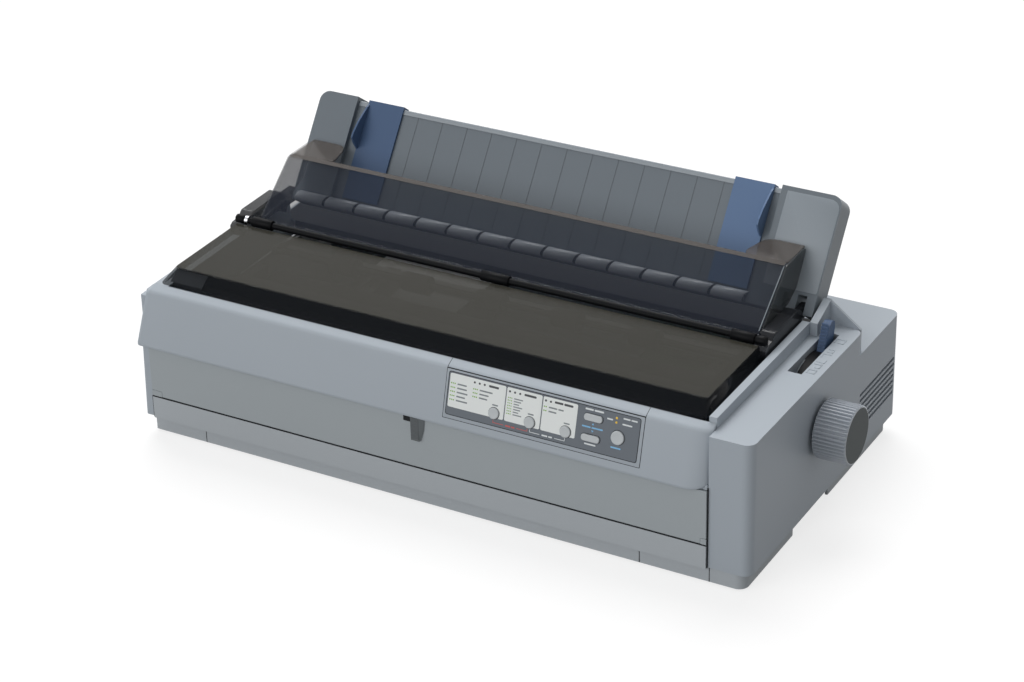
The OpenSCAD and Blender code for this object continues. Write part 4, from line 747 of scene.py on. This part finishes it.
RIBS = 46
KNOB_RINGS = ((288.6, 24.6, 0), (289.2, 25.2, 1.0), (290.0, 26.3, 2.1), (317.2, 26.3, 2.1), (318.4, 26.1, 1.1),
              (319.1, 25.5, 0.3), (319.4, 24.8, 0), (319.4, 24.5, 0), (319.4, 24.2, 0), (319.4, 1, 0))


def knob_ring(x, r, depth):
    """Four points for each rib: two on its back, two in the groove beside it."""
    radii = (r, r, r - depth, r - depth)
    return [plain(x, KNOB_AXIS[0] + radii[k % 4] * math.cos(a), KNOB_AXIS[1] + radii[k % 4] * math.sin(a))
            for k, a in enumerate(around(RIBS * 4))]


knob = Shape()
knob.loft([knob_ring(*ring) for ring in KNOB_RINGS])
knob.piece("knob_cap", "knob", "platen", "knob_grey", ["feed_knob"], angle=28)
knob_face = Shape()
knob_face.lathe([(319.2, 0.5), (319.2, 24.6), (319.45, 24.3), (319.45, 0.5)], KNOB_AXIS, 64)
knob_face.piece("knob_face", "knob_face", "platen", "knob_grey", angle=28)

# ---------------------------------------------------------------- release lever and its shield

LEVER_U, LEVER_Z, TILT = 174.0, 70.0, math.radians(22)


def on_lever(x, across, along):
    """The release lever: x along its pivot, across it to the back, along it from the pivot up."""
    return plain(x, LEVER_U + along * math.sin(TILT) + across * math.cos(TILT),
                 LEVER_Z + along * math.cos(TILT) - across * math.sin(TILT))


def arc_band(inner, outer, start, stop, step):
    """A curved band about the lever's pivot, between two radii and two angles in degrees."""
    angles = [math.radians(a) for a in range(start, stop, step)]
    return ([(outer * math.sin(a), outer * math.cos(a)) for a in angles]
            + [(inner * math.sin(a), inner * math.cos(a)) for a in reversed(angles)])


lever_ribs = Shape()
for k in range(8):
    a = 64 + k * 2.9
    lever_ribs.across(fillet([(-9.7, a), (-8.6, a), (-8.6, a + 1.4), (-9.7, a + 1.4)], 0.3, 2),
                      260.4, 266.6, on_lever)
lever_ribs.piece("lever_ribs", "blue", "paper_lever", "blue_plastic")
shield = Shape()
shield.across(arc_band(60.0, 61.2, -46, 43, 4), 257.8, 269.2, on_lever)
shield.piece("lever_shield", "black", "paper_lever", "blue_plastic", angle=50)
# A light arc along the shield's front edge: a painted highlight
shield_painted_highlight = Shape()
shield_painted_highlight.across(arc_band(61.0, 61.6, -46, -25, 3), 257.8, 258.7, on_lever)
shield_painted_highlight.piece("shield_painted_highlight", "guide_light", "paper_lever", "blue_plastic", angle=50)
slot_wall = Shape()
slot_wall.block(255.8, 256.9, 132.5, 215.5, 112, 134.6)
slot_wall.piece("slot_wall", "case", "housing", "case_grey", bevel=0.2)

# Raised marks beside the slot: u of each mark's middle, and its line in (x, distance behind that u)
MARK_LINE, MARK_H = 0.75, 0.75
MARKS = ((142, ((272, -3), (279, -3), (279, 3), (272, 3), (272, -3))),
         (153, ((272, 3), (279, 3), (279, -3), (275, -3))),
         (163, ((272, -2.5), (279, -2.5), (279, 2.5))),
         (173, ((272, -3), (272, 3), (279, 3))),
         (183, ((273, -2.5), (278, -2.5), (278, 2.5), (273, 2.5))),
         (203, ((271.5, -3.5), (279.5, -3.5), (279.5, 3.5), (271.5, 3.5), (271.5, -3.5))))
raised = Shape()


def mark(points, z):
    """A raised line in plan, one bar for each side."""
    for (xa, ua), (xb, ub) in zip(points, points[1:]):
        d = Vector((xb - xa, ub - ua)).normalized() * MARK_LINE / 2
        n = Vector((-d.y, d.x))
        outline = [(xa - d.x + n.x, ua - d.y + n.y), (xb + d.x + n.x, ub + d.y + n.y),
                   (xb + d.x - n.x, ub + d.y - n.y), (xa - d.x - n.x, ua - d.y - n.y)]
        raised.stack(((outline, z), (outline, z + MARK_H)))


for u, outline in MARKS:
    tower_top = 138 - 3 * u / 231          # the tower falls by 3 mm over its depth
    mark([(x, u + du) for x, du in outline], tower_top - 0.3)
raised.piece("slot_marks", "case", "housing", "case_grey", bevel=0.1)

# ---------------------------------------------------------------- camera, floor and light

# Position (in m), axes and focal length were solved from the edges in the photo
CAMERA_AT = (1.08181, -1.92512, 1.28391 + LIFT * MM)
CAMERA_RIGHT = (0.873356, 0.486574, -0.02224)
CAMERA_UP = (-0.214056, 0.424424, 0.879798)
CAMERA_BACK = (0.437526, -0.763616, 0.474827)
cam_data = bpy.data.cameras.new("camera")
cam_data.sensor_width = 36.0
cam_data.lens = 98.68
cam_data.clip_start = 0.05
cam_data.clip_end = 60
cam = bpy.data.objects.new("camera", cam_data)
scene.collection.objects.link(cam)
scene.camera = cam
turn = Matrix((CAMERA_RIGHT, CAMERA_UP, CAMERA_BACK)).transposed().to_4x4()
cam.matrix_world = Matrix.Translation(Vector(CAMERA_AT)) @ turn


def seen_directly(tree):
    """1 for camera, glossy and transmission rays, 0 for the light that falls on the object."""
    path = tree.nodes.new("ShaderNodeLightPath")
    out = path.outputs["Is Camera Ray"]
    for other in ("Is Glossy Ray", "Is Transmission Ray"):
        add = tree.nodes.new("ShaderNodeMath")
        add.operation = "MAXIMUM"
        tree.links.new(out, add.inputs[0])
        tree.links.new(path.outputs[other], add.inputs[1])
        out = add.outputs[0]
    return out


def backdrop_mix(tree, shader, seen, surface):
    """Puts `shader` on a surface, and `seen` in its place for the rays that show it."""
    mix = tree.nodes.new("ShaderNodeMixShader")
    tree.links.new(seen_directly(tree), mix.inputs[0])
    tree.links.new(shader, mix.inputs[1])
    tree.links.new(seen, mix.inputs[2])
    tree.links.new(mix.outputs[0], surface)


WHITE = (1, 1, 1, 1)
FLOOR_HALF = 14.0         # m, far enough for a horizon at the back
FLOOR_GLOW = 0.75         # what the floor shows by itself, so that it looks white and keeps the shadow
FLOOR_SEEN = 0.30         # its grey where it is seen
FLOOR_GREY = 0.27         # its grey where it only lights the object
SOFT_LIGHT = 0.37
floor_mesh = bpy.data.meshes.new("floor")
floor = bpy.data.objects.new("floor", floor_mesh)
scene.collection.objects.link(floor)
floor_mesh.from_pydata([(-FLOOR_HALF, -FLOOR_HALF, 0), (FLOOR_HALF, -FLOOR_HALF, 0), (FLOOR_HALF, FLOOR_HALF, 0),
                        (-FLOOR_HALF, FLOOR_HALF, 0)], [], [(0, 1, 2, 3)])
floor_mat = bpy.data.materials.new("floor_pale")
floor_mat.use_nodes = True
floor_tree = floor_mat.node_tree
floor_tree.nodes.remove(floor_tree.nodes["Principled BSDF"])


def floor_diffuse(level):
    node = floor_tree.nodes.new("ShaderNodeBsdfDiffuse")
    node.inputs["Color"].default_value = (level, level, level, 1)
    return node.outputs[0]


glow = floor_tree.nodes.new("ShaderNodeEmission")
glow.inputs["Color"].default_value = WHITE
glow.inputs["Strength"].default_value = FLOOR_GLOW
lit = floor_tree.nodes.new("ShaderNodeAddShader")
floor_tree.links.new(glow.outputs[0], lit.inputs[0])
floor_tree.links.new(floor_diffuse(FLOOR_SEEN), lit.inputs[1])
backdrop_mix(floor_tree, floor_diffuse(FLOOR_GREY), lit.outputs[0],
             floor_tree.nodes["Material Output"].inputs["Surface"])
floor_mesh.materials.append(floor_mat)

world = bpy.data.worlds.new("studio")
scene.world = world
world.use_nodes = True
world_tree = world.node_tree
soft = world_tree.nodes["Background"]
soft.inputs["Color"].default_value = WHITE
soft.inputs["Strength"].default_value = SOFT_LIGHT
white = world_tree.nodes.new("ShaderNodeBackground")
white.inputs["Color"].default_value = WHITE
white.inputs["Strength"].default_value = 1.0
backdrop_mix(world_tree, soft.outputs[0], white.outputs[0], world_tree.nodes["World Output"].inputs["Surface"])


def sun(name, towards, strength, spread):
    data = bpy.data.lights.new(name, "SUN")
    data.energy = strength
    data.angle = math.radians(spread)
    lamp = bpy.data.objects.new(name, data)
    scene.collection.objects.link(lamp)
    lamp.rotation_euler = Vector(towards).to_track_quat("Z", "Y").to_euler()


sun("key", (-0.3, 0.45, 0.84), strength=2.02, spread=40)
sun("fill", (-0.35, -0.9, 0.25), strength=1.54, spread=60)

# ---------------------------------------------------------------- output

scene.view_settings.view_transform = "Standard"
